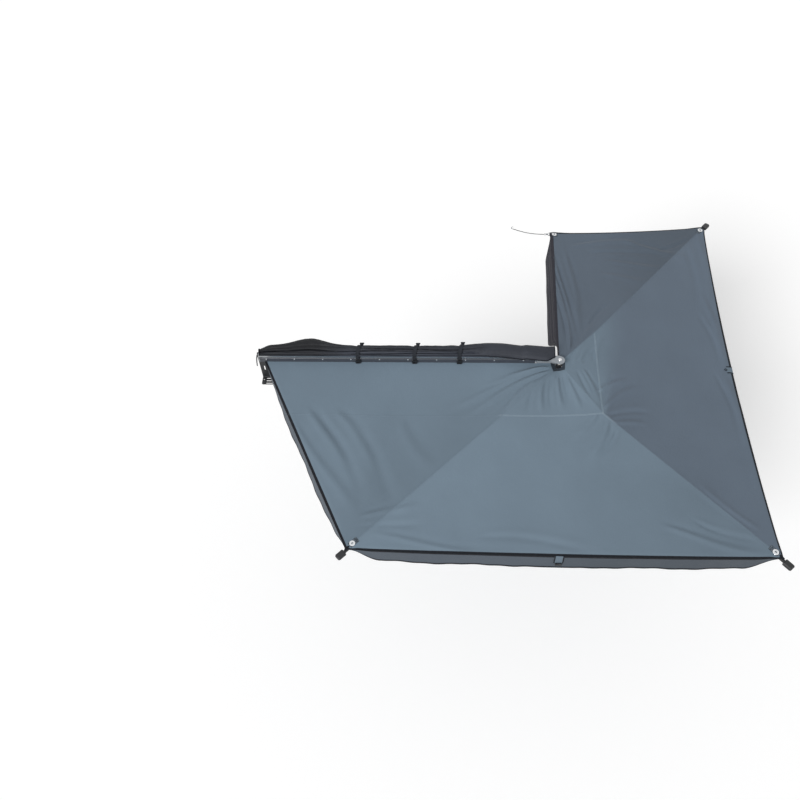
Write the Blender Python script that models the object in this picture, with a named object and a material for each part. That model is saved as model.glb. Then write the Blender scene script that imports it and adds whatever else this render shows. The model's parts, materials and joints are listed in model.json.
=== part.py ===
"""Vehicle side awning of the free-standing 270 degree kind, set up.

Three telescopic arms swing about one upright pin at the rear end of a wall rail and carry a
fabric roof beneath which they hide. The fourth edge of the roof has no arm: a snap hook and a
cord hold its corner. The opened travel bag lies back over the rail under three straps.

Frame: metres, +X towards the vehicle's rear, +Y towards the vehicle, +Z up. The origin is the
middle of the rail's rear face, where the rail meets what carries it.
"""

import math
from collections import namedtuple

import bmesh
import bpy
from mathutils import Matrix, Vector

# Clearances
GAP = 0.0003
SLIDE_GAP = 0.0005

# Wall rail
RAIL_LENGTH = 2.040
RAIL_HEIGHT = 0.070
RAIL_DEPTH = 0.025
RAIL_WALL = 0.0022
SLOT_SPACING = 0.040
SLOT_MOUTH = 0.0085
SLOT_LIP = 0.0022
SLOT_CHAMBER_HEIGHT = 0.0140
SLOT_CHAMBER_DEPTH = 0.0060
KEDER_RADIUS = 0.0040
KEDER_MOUTH = 0.0030
KEDER_SETBACK = 0.0095
END_CAP_THICKNESS = 0.004
END_CAP_TENON = 0.020

# Clamp strip that holds the roof's edge
STRIP_THICKNESS = 0.006
STRIP_TOP = 0.008
STRIP_BOTTOM = -0.034
STRIP_FRONT_MARGIN = 0.006
STRIP_BEFORE_HINGE = 0.012

# Mounting brackets
BRACKET_THICKNESS = 0.005
BRACKET_WIDTH = 0.120
BRACKET_TOP = 0.030
BRACKET_DROP = 0.2443
BRACKET_LIP = 0.070
BRACKET_BEND = 0.003
BRACKET_CORNER = 0.009
BRACKET_FRONT_MARGIN = 0.047
BRACKET_REAR_MARGIN = 0.200
BRACKET_SLOT_WIDTH = 0.009
LIP_SLOT_LENGTH = 0.060
LIP_SLOT_PITCH = 0.0225
LIP_SLOT_FIRST = 0.015
LEG_SLOT_LENGTH = 0.050
LEG_SLOT_SPACING = 0.060
LEG_SLOT_Z = -0.140
BRACKET_HOLE_RADIUS = 0.0045
BRACKET_HOLE_EDGE = 0.012
BOLT_HOLE_RADIUS = 0.0042
BOLT_HOLE_SPACING = 0.070

# Hinge head at the rail's rear end
PIN_BEYOND_RAIL = 0.060
PIN_FORWARD = 0.064
PIN_RADIUS = 0.007
PIN_HEAD_RADIUS = 0.0125
PIN_HEAD_HEIGHT = 0.006
PIN_TAIL = 0.004
NUT_ACROSS_FLATS = 0.022
NUT_HEIGHT = 0.009
PLATE_THICKNESS = 0.006
PLATE_NOSE_RADIUS = 0.034
PLATE_REACH = 0.150
PLATE_TAIL_DEPTH = 0.014
WEB_TOP_Z = 0.047
WEB_BEFORE_PIN = 0.004
BOSS_RADIUS = 0.014
BOSS_HEIGHT = 0.0095
GUSSET_THICKNESS = 0.006
GUSSET_REACH = 0.030
HINGE_WINDOW_RADIUS = 0.012

# Knuckles on the pin
HUB_RADIUS = 0.021
HUB_HEIGHT = 0.033
HUB_TOP_Z = 0.0115
WASHER_THICKNESS = 0.0024
WASHER_RADIUS = 0.016
BUSH_WALL = 0.0019
SLEEVE_RADIUS = 0.014
NECK_LENGTH = 0.075
NECK_WIDTH = 0.020
NECK_HEIGHT = 0.024
PLUG_LENGTH = 0.060

# Arms
ARM_DROOP = 3.5
TUBE_WIDTH = 0.025
TUBE_HEIGHT = 0.030
TUBE_WALL = 0.0020
TUBE_CORNER = 0.003
TUBE_SHORT_OF_CORNER = 0.226
INNER_WALL = 0.0018
INNER_OVERLAP = 0.400
INNER_SHORT_OF_CORNER = 0.030
ARM_A_HEADING = 224.0
ARM_B_HEADING = 312.0
ARM_C_HEADING = 410.0
ARM_A_REACH = 1.934
ARM_B_REACH = 1.846
ARM_C_REACH = 1.979

# Clamp collars and their levers
COLLAR_SIZE = 0.033
COLLAR_ON_TUBE = 0.040
COLLAR_PAST_TUBE = 0.022
COLLAR_CORNER = 0.005
EAR_THICKNESS = 0.004
EAR_RADIUS = 0.0065
LEVER_HEIGHT = 0.012
LEVER_LENGTH = 0.058
LEVER_THICKNESS = 0.005
LEVER_PIN_RADIUS = 0.0024
LEVER_STANDOFF = 0.0075

# Tip caps
CAP_HEAD_START = 0.012
CAP_HEAD_LENGTH = 0.060
CAP_HEAD_WIDTH = 0.042
CAP_HEAD_HEIGHT = 0.028
CAP_NECK_WIDTH = 0.016
CAP_NECK_HEIGHT = 0.020
CAP_PLUG_LENGTH = 0.040
CAP_COLLAR_LENGTH = 0.006

# Roof fabric
FABRIC_THICKNESS = 0.002
FABRIC_ABOVE_ARM = 0.021
FABRIC_INNER_RADIUS = 0.045
FABRIC_A_INNER_Z = -0.030
FABRIC_B_INNER_Z = -0.005
FABRIC_C_INNER_Z = 0.014
FABRIC_D_INNER_Z = 0.018
CORNER_D_HEADING = 448.0
CORNER_D_REACH = 1.405
CORNER_D_Z = -0.060
CLAMP_EDGE_Z = -0.028
CLAMP_EDGE_FRONT_MARGIN = 0.042
CLAMP_EDGE_BEYOND_RAIL = 0.015
MITRE_RADIUS = 0.430
MITRE_OFFSET_B = 0.0635
MITRE_OFFSET_C = 0.0150
ROOF_SAG = 0.015
VALANCE_HEIGHT = 0.145
VALANCE_END_HEIGHT = 0.005
VALANCE_MARGIN = 0.022
VALANCE_TAPER = 0.180
VALANCE_WAVE = 0.007
FLAP_HEIGHT = 0.130
FLAP_SLANT = 0.050
FLAP_MARGIN = 0.050
FLAP_TAPER = 0.160
EDGE_STRAP_WIDTH = 0.012
EDGE_STRAP_START = 0.085

# Corner webbing and eyelets
TAB_THICKNESS = 0.0016
TAB_LIFT = 0.0006
RIDGE_FALL = 0.0020
TAB_INNER_WIDTH = 0.042
TAB_OUTER_WIDTH = 0.014
TAB_INNER_END = 0.105
TAB_WALL_START = 0.0016
EYELET_INSET = 0.055
EYELET_D_INSET = 0.023
EYELET_FLANGE_RADIUS = 0.019
EYELET_BACK_RADIUS = 0.0130
EYELET_BARREL_RADIUS = 0.0090
EYELET_BORE_RADIUS = 0.0078
EYELET_PLATE = 0.0010
EDGE_TAB_WIDTH = 0.060
EDGE_TAB_HEIGHT = 0.085
EDGE_TAB_KNOB_RADIUS = 0.009
EDGE_TAB_KNOB_LENGTH = 0.040

# Snap hook and tether
HOOK_ROD_RADIUS = 0.0025
HOOK_BEND_RADIUS = 0.0125
HOOK_STRAIGHT = 0.044
HOOK_NOSE_LENGTH = 0.008
HOOK_SWIVEL_RADIUS = 0.006
HOOK_SWIVEL_LENGTH = 0.012
HOOK_EYE_RADIUS = 0.0075
HOOK_HEADING = 183.0
GATE_RADIUS = 0.0020
CORD_RADIUS = 0.0025
CORD_SAG = 0.014
CORD_END = (0.816, 1.258, 0.050)
END_HOOK_RADIUS = 0.009
END_HOOK_ROD_RADIUS = 0.0022

# Travel bag, straps and buckles
BAG_HEIGHT = 0.050
BAG_DEPTH_BEHIND = 0.045
BAG_BULGE_FROM_FRONT = 0.365
BAG_BULGE_DEPTH = 0.068
BAG_BULGE_SPREAD = 0.150
BAG_SWELL_FROM_REAR = 0.400
BAG_SWELL_DEPTH = 0.030
BAG_SWELL_SPREAD = 0.220
BAG_FLAP_FROM_REAR = 0.400
BAG_FLAP_FORWARD = 0.045
BAG_BEYOND_RAIL = 0.030
BAG_RISE_BEFORE_HINGE = 0.110
BAG_RISE_LENGTH = 0.040
STRAP_WIDTH = 0.026
STRAP_THICKNESS = 0.0014
STRAP_1_FROM_FRONT = 0.706
STRAP_2_FROM_FRONT = 1.102
STRAP_3_FROM_FRONT = 1.414
STRAP_END_Z = -0.010
BUCKLE_WIDTH = 0.036
BUCKLE_HEIGHT = 0.034
BUCKLE_THICKNESS = 0.010
BUCKLE_WINDOW_WIDTH = 0.018
BUCKLE_WINDOW_HEIGHT = 0.010

# Facets
ROUND_SIDES = 24
ROD_SIDES = 8
CORNER_STEPS = 3

# Places that follow from the sizes
PIN_X = RAIL_LENGTH / 2 + PIN_BEYOND_RAIL
PIN_Y = -PIN_FORWARD
HUB_PITCH = HUB_HEIGHT + WASHER_THICKNESS + 2 * GAP
WEB_BACK_Y = -RAIL_DEPTH - GAP
STRIP_FRONT_Y = WEB_BACK_Y - STRIP_THICKNESS
CLAMP_EDGE_Y = STRIP_FRONT_Y - GAP
PLATE_UNDER_Z = WEB_TOP_Z - PLATE_THICKNESS
PIN_BORE_RADIUS = PIN_RADIUS + GAP
BUSH_RADIUS = PIN_BORE_RADIUS + BUSH_WALL
HUB_BORE_RADIUS = BUSH_RADIUS + GAP
INNER_WIDTH = TUBE_WIDTH - 2 * TUBE_WALL - 2 * SLIDE_GAP
INNER_HEIGHT = TUBE_HEIGHT - 2 * TUBE_WALL - 2 * SLIDE_GAP
TUBE_START = NECK_LENGTH + GAP
TUBE_END = min(ARM_A_REACH, ARM_B_REACH, ARM_C_REACH) - TUBE_SHORT_OF_CORNER
INNER_START = TUBE_END - INNER_OVERLAP
RAIL_FRONT_X = -RAIL_LENGTH / 2
RAIL_REAR_X = RAIL_LENGTH / 2
BRACKET_FRONT_X = RAIL_FRONT_X + BRACKET_FRONT_MARGIN
BRACKET_REAR_X = RAIL_REAR_X - BRACKET_REAR_MARGIN
BAG_BULGE_X = RAIL_FRONT_X + BAG_BULGE_FROM_FRONT
BAG_SWELL_X = RAIL_REAR_X - BAG_SWELL_FROM_REAR
BAG_FLAP_START_X = RAIL_REAR_X - BAG_FLAP_FROM_REAR
BAG_REAR_X = RAIL_REAR_X + BAG_BEYOND_RAIL
STRAP_1_X = RAIL_FRONT_X + STRAP_1_FROM_FRONT
STRAP_2_X = RAIL_FRONT_X + STRAP_2_FROM_FRONT
STRAP_3_X = RAIL_FRONT_X + STRAP_3_FROM_FRONT
STRAP_PLACES = (STRAP_1_X, STRAP_2_X, STRAP_3_X)


def hub_level(index):
    """Height of the middle of a hub, counted down from the topmost."""
    return HUB_TOP_Z - HUB_HEIGHT / 2 - index * HUB_PITCH


BOTTOM_HUB_Z = hub_level(2) - HUB_HEIGHT / 2
BOSS_TOP_Z = BOTTOM_HUB_Z - WASHER_THICKNESS - 2 * GAP
BASE_PLATE_TOP_Z = BOSS_TOP_Z - BOSS_HEIGHT
BASE_PLATE_UNDER_Z = BASE_PLATE_TOP_Z - PLATE_THICKNESS

Arm = namedtuple("Arm", "name heading reach level inner_z bend")
ARM_A = Arm("a", math.radians(ARM_A_HEADING), ARM_A_REACH, hub_level(2), FABRIC_A_INNER_Z, 0.0)
ARM_B = Arm("b", math.radians(ARM_B_HEADING), ARM_B_REACH, hub_level(1), FABRIC_B_INNER_Z,
            MITRE_OFFSET_B)
ARM_C = Arm("c", math.radians(ARM_C_HEADING), ARM_C_REACH, hub_level(0), FABRIC_C_INNER_Z,
            MITRE_OFFSET_C)
ARMS = (ARM_A, ARM_B, ARM_C)
DROOP = math.radians(ARM_DROOP)


# Scene and materials

def clear_scene():
    for item in list(bpy.data.objects):
        bpy.data.objects.remove(item, do_unlink=True)


def linear(channel):
    """One sRGB channel, 0 to 255, as a linear value."""
    value = channel / 255
    if value <= 0.04045:
        return value / 12.92
    return ((value + 0.055) / 1.055) ** 2.4


def make_material(name, colour, metallic, roughness):
    material = bpy.data.materials.new(name)
    material.use_nodes = True
    shader = material.node_tree.nodes["Principled BSDF"]
    red, green, blue = (linear(int(colour[i:i + 2], 16)) for i in (0, 2, 4))
    shader.inputs["Base Color"].default_value = (red, green, blue, 1.0)
    shader.inputs["Metallic"].default_value = metallic
    shader.inputs["Roughness"].default_value = roughness
    material.diffuse_color = (red, green, blue, 1.0)
    return material


def make_materials():
    return {
        "aluminium": make_material("aluminium", "C9CBCC", 1.0, 0.35),
        "painted_steel": make_material("painted_steel", "1C1D20", 0.0, 0.45),
        "grey_casting": make_material("grey_casting", "B9BDC1", 0.6, 0.45),
        "steel": make_material("steel", "D6D8DA", 1.0, 0.2),
        "nylon": make_material("nylon", "E4E2DC", 0.0, 0.5),
        "black_plastic": make_material("black_plastic", "222326", 0.0, 0.5),
        "webbing": make_material("webbing", "1A1C20", 0.0, 0.85),
        "canopy": make_material("canopy", "6D7D8C", 0.0, 0.75),
        "dark_cloth": make_material("dark_cloth", "34383F", 0.0, 0.85),
        "cord": make_material("cord", "1B1C1F", 0.0, 0.8),
    }


# Mesh helpers

def place(name, mesh_data, material, parent=None, matrix=None, smooth=False):
    """Turn a closed bmesh into a named object; matrix is given in the parent's space."""
    bmesh.ops.remove_doubles(mesh_data, verts=mesh_data.verts, dist=1e-7)
    bmesh.ops.dissolve_degenerate(mesh_data, edges=mesh_data.edges, dist=1e-7)
    bmesh.ops.triangulate(mesh_data, faces=[f for f in mesh_data.faces if len(f.verts) > 4])
    bmesh.ops.recalc_face_normals(mesh_data, faces=mesh_data.faces)
    mesh = bpy.data.meshes.new(name)
    mesh_data.to_mesh(mesh)
    mesh_data.free()
    if smooth:
        mesh.shade_smooth()
        mesh.set_sharp_from_angle(angle=math.radians(35))
    mesh.materials.append(material)
    item = bpy.data.objects.new(name, mesh)
    bpy.context.scene.collection.objects.link(item)
    if parent is not None:
        item.parent = parent
    if matrix is not None:
        item.matrix_local = matrix
    return item


def make_empty(name, matrix, parent=None):
    item = bpy.data.objects.new(name, None)
    item.empty_display_size = 0.05
    bpy.context.scene.collection.objects.link(item)
    if parent is not None:
        item.parent = parent
    item.matrix_local = matrix
    return item


def combine(mesh_data, other, operation):
    """Boolean of two closed bmeshes with the exact solver; both inputs are freed."""
    pair = []
    for index, part in enumerate((mesh_data, other)):
        bmesh.ops.recalc_face_normals(part, faces=part.faces)
        mesh = bpy.data.meshes.new("boolean_input")
        part.to_mesh(mesh)
        part.free()
        item = bpy.data.objects.new("boolean_input", mesh)
        bpy.context.scene.collection.objects.link(item)
        pair.append(item)
    modifier = pair[0].modifiers.new("Boolean", "BOOLEAN")
    modifier.operation = operation
    modifier.object = pair[1]
    bpy.context.view_layer.update()
    result = bmesh.new()
    result.from_object(pair[0], bpy.context.evaluated_depsgraph_get())
    for item in pair:
        mesh = item.data
        bpy.data.objects.remove(item, do_unlink=True)
        bpy.data.meshes.remove(mesh)
    return result


def bridge(rings, closed):
    """Skin a list of equal rings of points; closed joins the last ring to the first."""
    result = bmesh.new()
    rows = [[result.verts.new(point) for point in ring] for ring in rings]
    pairs = list(zip(rows, rows[1:]))
    if closed:
        pairs.append((rows[-1], rows[0]))
    count = len(rows[0])
    for first, second in pairs:
        for i in range(count):
            j = (i + 1) % count
            result.faces.new((first[i], first[j], second[j], second[i]))
    if not closed:
        result.faces.new(reversed(rows[0]))
        result.faces.new(rows[-1])
    return result


def turned(profile, sides=ROUND_SIDES):
    """Solid of revolution about Z from (radius, z) pairs, bottom to top, with flat ends."""
    return bridge([circle(radius, z, sides) for radius, z in profile], closed=False)


def turned_ring(profile, sides=ROUND_SIDES):
    """Ring of revolution about Z from a closed (radius, z) outline."""
    return bridge([circle(radius, z, sides) for radius, z in profile], closed=True)


def circle(radius, z, sides):
    angles = (2 * math.pi * i / sides for i in range(sides))
    return [Vector((radius * math.cos(a), radius * math.sin(a), z)) for a in angles]


def prism(outline, low, high, axes="xyz"):
    """Extrude a 2-D outline along the third of the named axes."""
    order = ["xyz".index(letter) for letter in axes]
    rings = []
    for height in (low, high):
        ring = []
        for first, second in outline:
            point = [0.0, 0.0, 0.0]
            point[order[0]] = first
            point[order[1]] = second
            point[order[2]] = height
            ring.append(Vector(point))
        rings.append(ring)
    return bridge(rings, closed=False)


def box(x0, x1, y0, y1, z0, z1):
    return prism([(x0, y0), (x1, y0), (x1, y1), (x0, y1)], z0, z1)


def arc(centre, radius, start, end, steps):
    """Points on an arc, angles in radians, both ends included."""
    points = []
    for i in range(steps + 1):
        angle = start + (end - start) * i / steps
        points.append((centre[0] + radius * math.cos(angle), centre[1] + radius * math.sin(angle)))
    return points


def rounded_rectangle(width, height, radius, steps=CORNER_STEPS):
    """Outline of a rectangle with round corners, centred on zero."""
    points = []
    for quarter in range(4):
        sign_x = (1, -1, -1, 1)[quarter]
        sign_y = (1, 1, -1, -1)[quarter]
        centre = (sign_x * (width / 2 - radius), sign_y * (height / 2 - radius))
        start = quarter * math.pi / 2
        points += arc(centre, radius, start, start + math.pi / 2, steps)
    return points


def capsule(length, width, steps=4):
    """Outline of a slot along the first axis, centred on zero."""
    radius = width / 2
    straight = length / 2 - radius
    right = arc((straight, 0.0), radius, -math.pi / 2, math.pi / 2, steps)
    left = arc((-straight, 0.0), radius, math.pi / 2, 3 * math.pi / 2, steps)
    return right + left


def polygon(radius, sides):
    """Regular outline centred on zero."""
    return arc((0.0, 0.0), radius, 0.0, 2 * math.pi * (sides - 1) / sides, sides - 1)


def shifted(outline, first, second):
    return [(a + first, b + second) for a, b in outline]


def beam_ring(x, width, height, radius):
    """Rounded rectangle across the X axis: width along Y and height along Z."""
    outline = rounded_rectangle(width, height, radius)
    return [Vector((x, y, z)) for y, z in outline]


def rod(points, radius, sides=ROD_SIDES):
    """Round bar along a list of points, with flat ends."""
    points = [Vector(point) for point in points]
    tangents = []
    for i, point in enumerate(points):
        before = points[max(i - 1, 0)]
        after = points[min(i + 1, len(points) - 1)]
        tangents.append((after - before).normalized())
    side = tangents[0].orthogonal().normalized()
    rings = []
    for point, tangent in zip(points, tangents):
        side = (side - tangent * side.dot(tangent)).normalized()
        up = tangent.cross(side)
        ring = []
        for i in range(sides):
            angle = 2 * math.pi * i / sides
            ring.append(point + radius * (math.cos(angle) * side + math.sin(angle) * up))
        rings.append(ring)
    return bridge(rings, closed=False)


def slab(top, offsets):
    """Closed sheet: a grid of points and the same grid moved by a vector for each point."""
    result = bmesh.new()
    upper = [[result.verts.new(point) for point in row] for row in top]
    lower = []
    for row, row_offsets in zip(top, offsets):
        lower.append([result.verts.new(p + o) for p, o in zip(row, row_offsets)])
    rows = len(top)
    columns = len(top[0])
    for r in range(rows - 1):
        for c in range(columns - 1):
            quad = [(r, c), (r, c + 1), (r + 1, c + 1), (r + 1, c)]
            result.faces.new([upper[i][j] for i, j in quad])
            result.faces.new([lower[i][j] for i, j in reversed(quad)])
    rim = [(0, c) for c in range(columns)]
    rim += [(r, columns - 1) for r in range(1, rows)]
    rim += [(rows - 1, c) for c in range(columns - 2, -1, -1)]
    rim += [(r, 0) for r in range(rows - 2, 0, -1)]
    for (i, j), (k, m) in zip(rim, rim[1:] + rim[:1]):
        result.faces.new([upper[k][m], upper[i][j], lower[i][j], lower[k][m]])
    return result


def smooth_step(value):
    value = min(max(value, 0.0), 1.0)
    return value * value * (3 - 2 * value)


# Rail, strip and end cap

def rail_outline():
    """The extrusion's section in (y, z): two T-slots behind, a round bead channel on top."""
    half = RAIL_HEIGHT / 2
    mouth = SLOT_MOUTH / 2
    chamber = SLOT_CHAMBER_HEIGHT / 2
    back = SLOT_LIP + SLOT_CHAMBER_DEPTH
    points = [(-RAIL_DEPTH, -half), (0.0, -half)]
    for centre in (-SLOT_SPACING / 2, SLOT_SPACING / 2):
        points += [
            (0.0, centre - mouth),
            (-SLOT_LIP, centre - mouth),
            (-SLOT_LIP, centre - chamber),
            (-back, centre - chamber),
            (-back, centre + chamber),
            (-SLOT_LIP, centre + chamber),
            (-SLOT_LIP, centre + mouth),
            (0.0, centre + mouth),
        ]
    points.append((0.0, half))
    middle = -KEDER_SETBACK
    half_mouth = math.asin(KEDER_MOUTH / 2 / KEDER_RADIUS)
    centre = (middle, half - RAIL_WALL / 2 - KEDER_RADIUS)
    points.append((middle + KEDER_MOUTH / 2, half))
    points += arc(centre, KEDER_RADIUS, math.pi / 2 - half_mouth,
                  math.pi / 2 + half_mouth - 2 * math.pi, 12)
    points.append((middle - KEDER_MOUTH / 2, half))
    points.append((-RAIL_DEPTH, half))
    return points


def rail_chamber_outline():
    """The hollow in front of the T-slots, in (y, z), below the bead channel."""
    front = -RAIL_DEPTH + RAIL_WALL
    back = -(SLOT_LIP + SLOT_CHAMBER_DEPTH) - RAIL_WALL
    low = -RAIL_HEIGHT / 2 + RAIL_WALL
    high = RAIL_HEIGHT / 2 - RAIL_WALL * 1.5 - 2 * KEDER_RADIUS
    return shifted(rounded_rectangle(back - front, high - low, RAIL_WALL / 2),
                   (front + back) / 2, (low + high) / 2)


def make_rail(materials):
    half = RAIL_LENGTH / 2
    section = prism(rail_outline(), -half, half, "yzx")
    hollow = prism(rail_chamber_outline(), -half - 0.01, half + 0.01, "yzx")
    place("back_rail", combine(section, hollow, "DIFFERENCE"), materials["aluminium"])


def make_clamp_strip(materials):
    start = -RAIL_LENGTH / 2 + STRIP_FRONT_MARGIN
    end = PIN_X - PLATE_REACH - STRIP_BEFORE_HINGE
    height = STRIP_TOP - STRIP_BOTTOM
    front = -STRIP_THICKNESS
    chamfer = STRIP_THICKNESS / 3
    outline = [
        (0.0, -height / 2),
        (0.0, height / 2),
        (front + chamfer, height / 2),
        (front, height / 2 - chamfer),
        (front, -height / 2 + chamfer),
        (front + chamfer, -height / 2),
    ]
    outline = shifted(outline, WEB_BACK_Y, (STRIP_TOP + STRIP_BOTTOM) / 2)
    place("canopy_clamp_strip", prism(outline, start, end, "yzx"), materials["painted_steel"])


def make_end_cap(materials):
    """Plastic cap on the rail's front end, with a tenon in the rail's hollow."""
    outer = -RAIL_LENGTH / 2 - GAP
    outline = shifted(rounded_rectangle(RAIL_DEPTH, RAIL_HEIGHT, 0.003), -RAIL_DEPTH / 2, 0.0)
    cap = prism(outline, outer - END_CAP_THICKNESS, outer, "yzx")
    chamber = rail_chamber_outline()
    middle_y = sum(y for y, z in chamber) / len(chamber)
    middle_z = sum(z for y, z in chamber) / len(chamber)
    depth = max(y for y, z in chamber) - min(y for y, z in chamber) - 2 * GAP
    height = max(z for y, z in chamber) - min(z for y, z in chamber) - 2 * GAP
    tenon_outline = shifted(rounded_rectangle(depth, height, RAIL_WALL / 2), middle_y, middle_z)
    tenon = prism(tenon_outline, outer - END_CAP_THICKNESS / 2, outer + END_CAP_TENON, "yzx")
    place("rail_end_cap", combine(cap, tenon, "UNION"), materials["black_plastic"])


# Brackets

def bracket_section():
    """The bent strip in (y, z): a leg behind the rail and a lip that reaches forwards."""
    back = GAP + BRACKET_THICKNESS
    floor = -BRACKET_DROP
    shelf = floor + BRACKET_THICKNESS
    inner = BRACKET_BEND
    outer = BRACKET_BEND + BRACKET_THICKNESS
    points = [(back, BRACKET_TOP), (GAP, BRACKET_TOP)]
    points += arc((GAP - inner, shelf + inner), inner, 0.0, -math.pi / 2, 4)
    points += [(-BRACKET_LIP, shelf), (-BRACKET_LIP, floor)]
    points += arc((back - outer, floor + outer), outer, -math.pi / 2, 0.0, 4)
    return points


def rounded_corners(mesh_data, test):
    """Round the plate corners whose edges pass the test."""
    edges = [e for e in mesh_data.edges if test(e.verts[0].co, e.verts[1].co)]
    bmesh.ops.bevel(mesh_data, geom=edges, offset=BRACKET_CORNER, segments=4, profile=0.5,
                    affect="EDGES")


def make_bracket(name, centre_x, hole_side, materials):
    half = BRACKET_WIDTH / 2
    plate = prism(bracket_section(), -half, half, "yzx")

    def is_corner(first, second):
        same_side = abs(first.x - second.x) < 1e-6
        at_top = min(first.z, second.z) > BRACKET_TOP - 1e-6
        at_lip = max(first.y, second.y) < -BRACKET_LIP + 1e-6
        return same_side and (at_top or at_lip)

    rounded_corners(plate, is_corner)
    slot = capsule(LIP_SLOT_LENGTH, BRACKET_SLOT_WIDTH)
    for row in range(3):
        y = -LIP_SLOT_FIRST - row * LIP_SLOT_PITCH
        cutter = prism(shifted(slot, 0.0, y), -BRACKET_DROP - 0.01,
                       -BRACKET_DROP + BRACKET_THICKNESS + 0.005)
        plate = combine(plate, cutter, "DIFFERENCE")
    hole_x = hole_side * (half - BRACKET_HOLE_EDGE)
    hole_y = -LIP_SLOT_FIRST - LIP_SLOT_PITCH / 2
    hole = turned([(BRACKET_HOLE_RADIUS, -BRACKET_DROP - 0.01),
                   (BRACKET_HOLE_RADIUS, -BRACKET_DROP + BRACKET_THICKNESS + 0.005)], 16)
    bmesh.ops.translate(hole, verts=hole.verts, vec=(hole_x, hole_y, 0.0))
    plate = combine(plate, hole, "DIFFERENCE")
    upright = [(b, a) for a, b in capsule(LEG_SLOT_LENGTH, BRACKET_SLOT_WIDTH)]
    for side in (-1, 1):
        x = side * LEG_SLOT_SPACING / 2
        cutter = prism(shifted(upright, x, LEG_SLOT_Z), -0.01, 0.02, "xzy")
        plate = combine(plate, cutter, "DIFFERENCE")
        for level in (-SLOT_SPACING / 2, SLOT_SPACING / 2):
            bolt = polygon(BOLT_HOLE_RADIUS, 10)
            bolt = shifted(bolt, side * BOLT_HOLE_SPACING / 2, level)
            plate = combine(plate, prism(bolt, -0.01, 0.02, "xzy"), "DIFFERENCE")
    place(name, plate, materials["painted_steel"], matrix=Matrix.Translation((centre_x, 0, 0)))


# Hinge head

def tangent_angle(point, radius, side):
    """Angle on a circle round zero where a line from an outside point touches it."""
    distance = math.hypot(*point)
    return math.atan2(point[1], point[0]) + side * math.acos(radius / distance)


def plate_outline():
    """A hinge plate in (x, y) from the pin: a nose round the pin and a tail along the rail."""
    back = WEB_BACK_Y - PIN_Y
    heel = (-WEB_BEFORE_PIN, back)
    tail = (-PLATE_REACH, back - PLATE_TAIL_DEPTH)
    start = tangent_angle(heel, PLATE_NOSE_RADIUS, -1)
    end = tangent_angle(tail, PLATE_NOSE_RADIUS, 1) - 2 * math.pi
    nose = arc((0.0, 0.0), PLATE_NOSE_RADIUS, start, end, 16)
    return [(-PLATE_REACH, back), heel] + nose + [tail]


def make_hinge_base(materials):
    """Casting bolted to the rail: upright web, top and base plates, boss and gussets."""
    back = WEB_BACK_Y - PIN_Y
    outline = plate_outline()
    body = box(-PLATE_REACH, -WEB_BEFORE_PIN, back - PLATE_THICKNESS, back,
               BASE_PLATE_UNDER_Z, WEB_TOP_Z)
    body = combine(body, prism(outline, PLATE_UNDER_Z, WEB_TOP_Z), "UNION")
    body = combine(body, prism(outline, BASE_PLATE_UNDER_Z, BASE_PLATE_TOP_Z), "UNION")
    boss = turned([(BOSS_RADIUS, BASE_PLATE_TOP_Z - PLATE_THICKNESS / 2),
                   (BOSS_RADIUS, BOSS_TOP_Z)])
    body = combine(body, boss, "UNION")
    inner = back - PLATE_THICKNESS / 2
    low = BASE_PLATE_UNDER_Z + PLATE_THICKNESS / 2
    rib = [(inner, low), (inner, low + 1.6 * GUSSET_REACH), (inner - GUSSET_REACH, low)]
    for x in (-PLATE_REACH + GUSSET_THICKNESS, -PLATE_REACH / 2):
        gusset = prism(rib, x, x + GUSSET_THICKNESS, "yzx")
        body = combine(body, gusset, "UNION")
    window = capsule(PLATE_REACH * 0.45, 2 * HINGE_WINDOW_RADIUS)
    window_z = (BASE_PLATE_TOP_Z - RAIL_HEIGHT / 2) / 2
    cutter = prism(shifted(window, -PLATE_REACH * 0.5, window_z - 0.004),
                   back - 2 * PLATE_THICKNESS, back + PLATE_THICKNESS, "xzy")
    body = combine(body, cutter, "DIFFERENCE")
    bore = turned([(PIN_BORE_RADIUS, BASE_PLATE_UNDER_Z - 0.01), (PIN_BORE_RADIUS, 0.1)])
    body = combine(body, bore, "DIFFERENCE")
    place("hinge_base", body, materials["grey_casting"],
          matrix=Matrix.Translation((PIN_X, PIN_Y, 0)))


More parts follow.
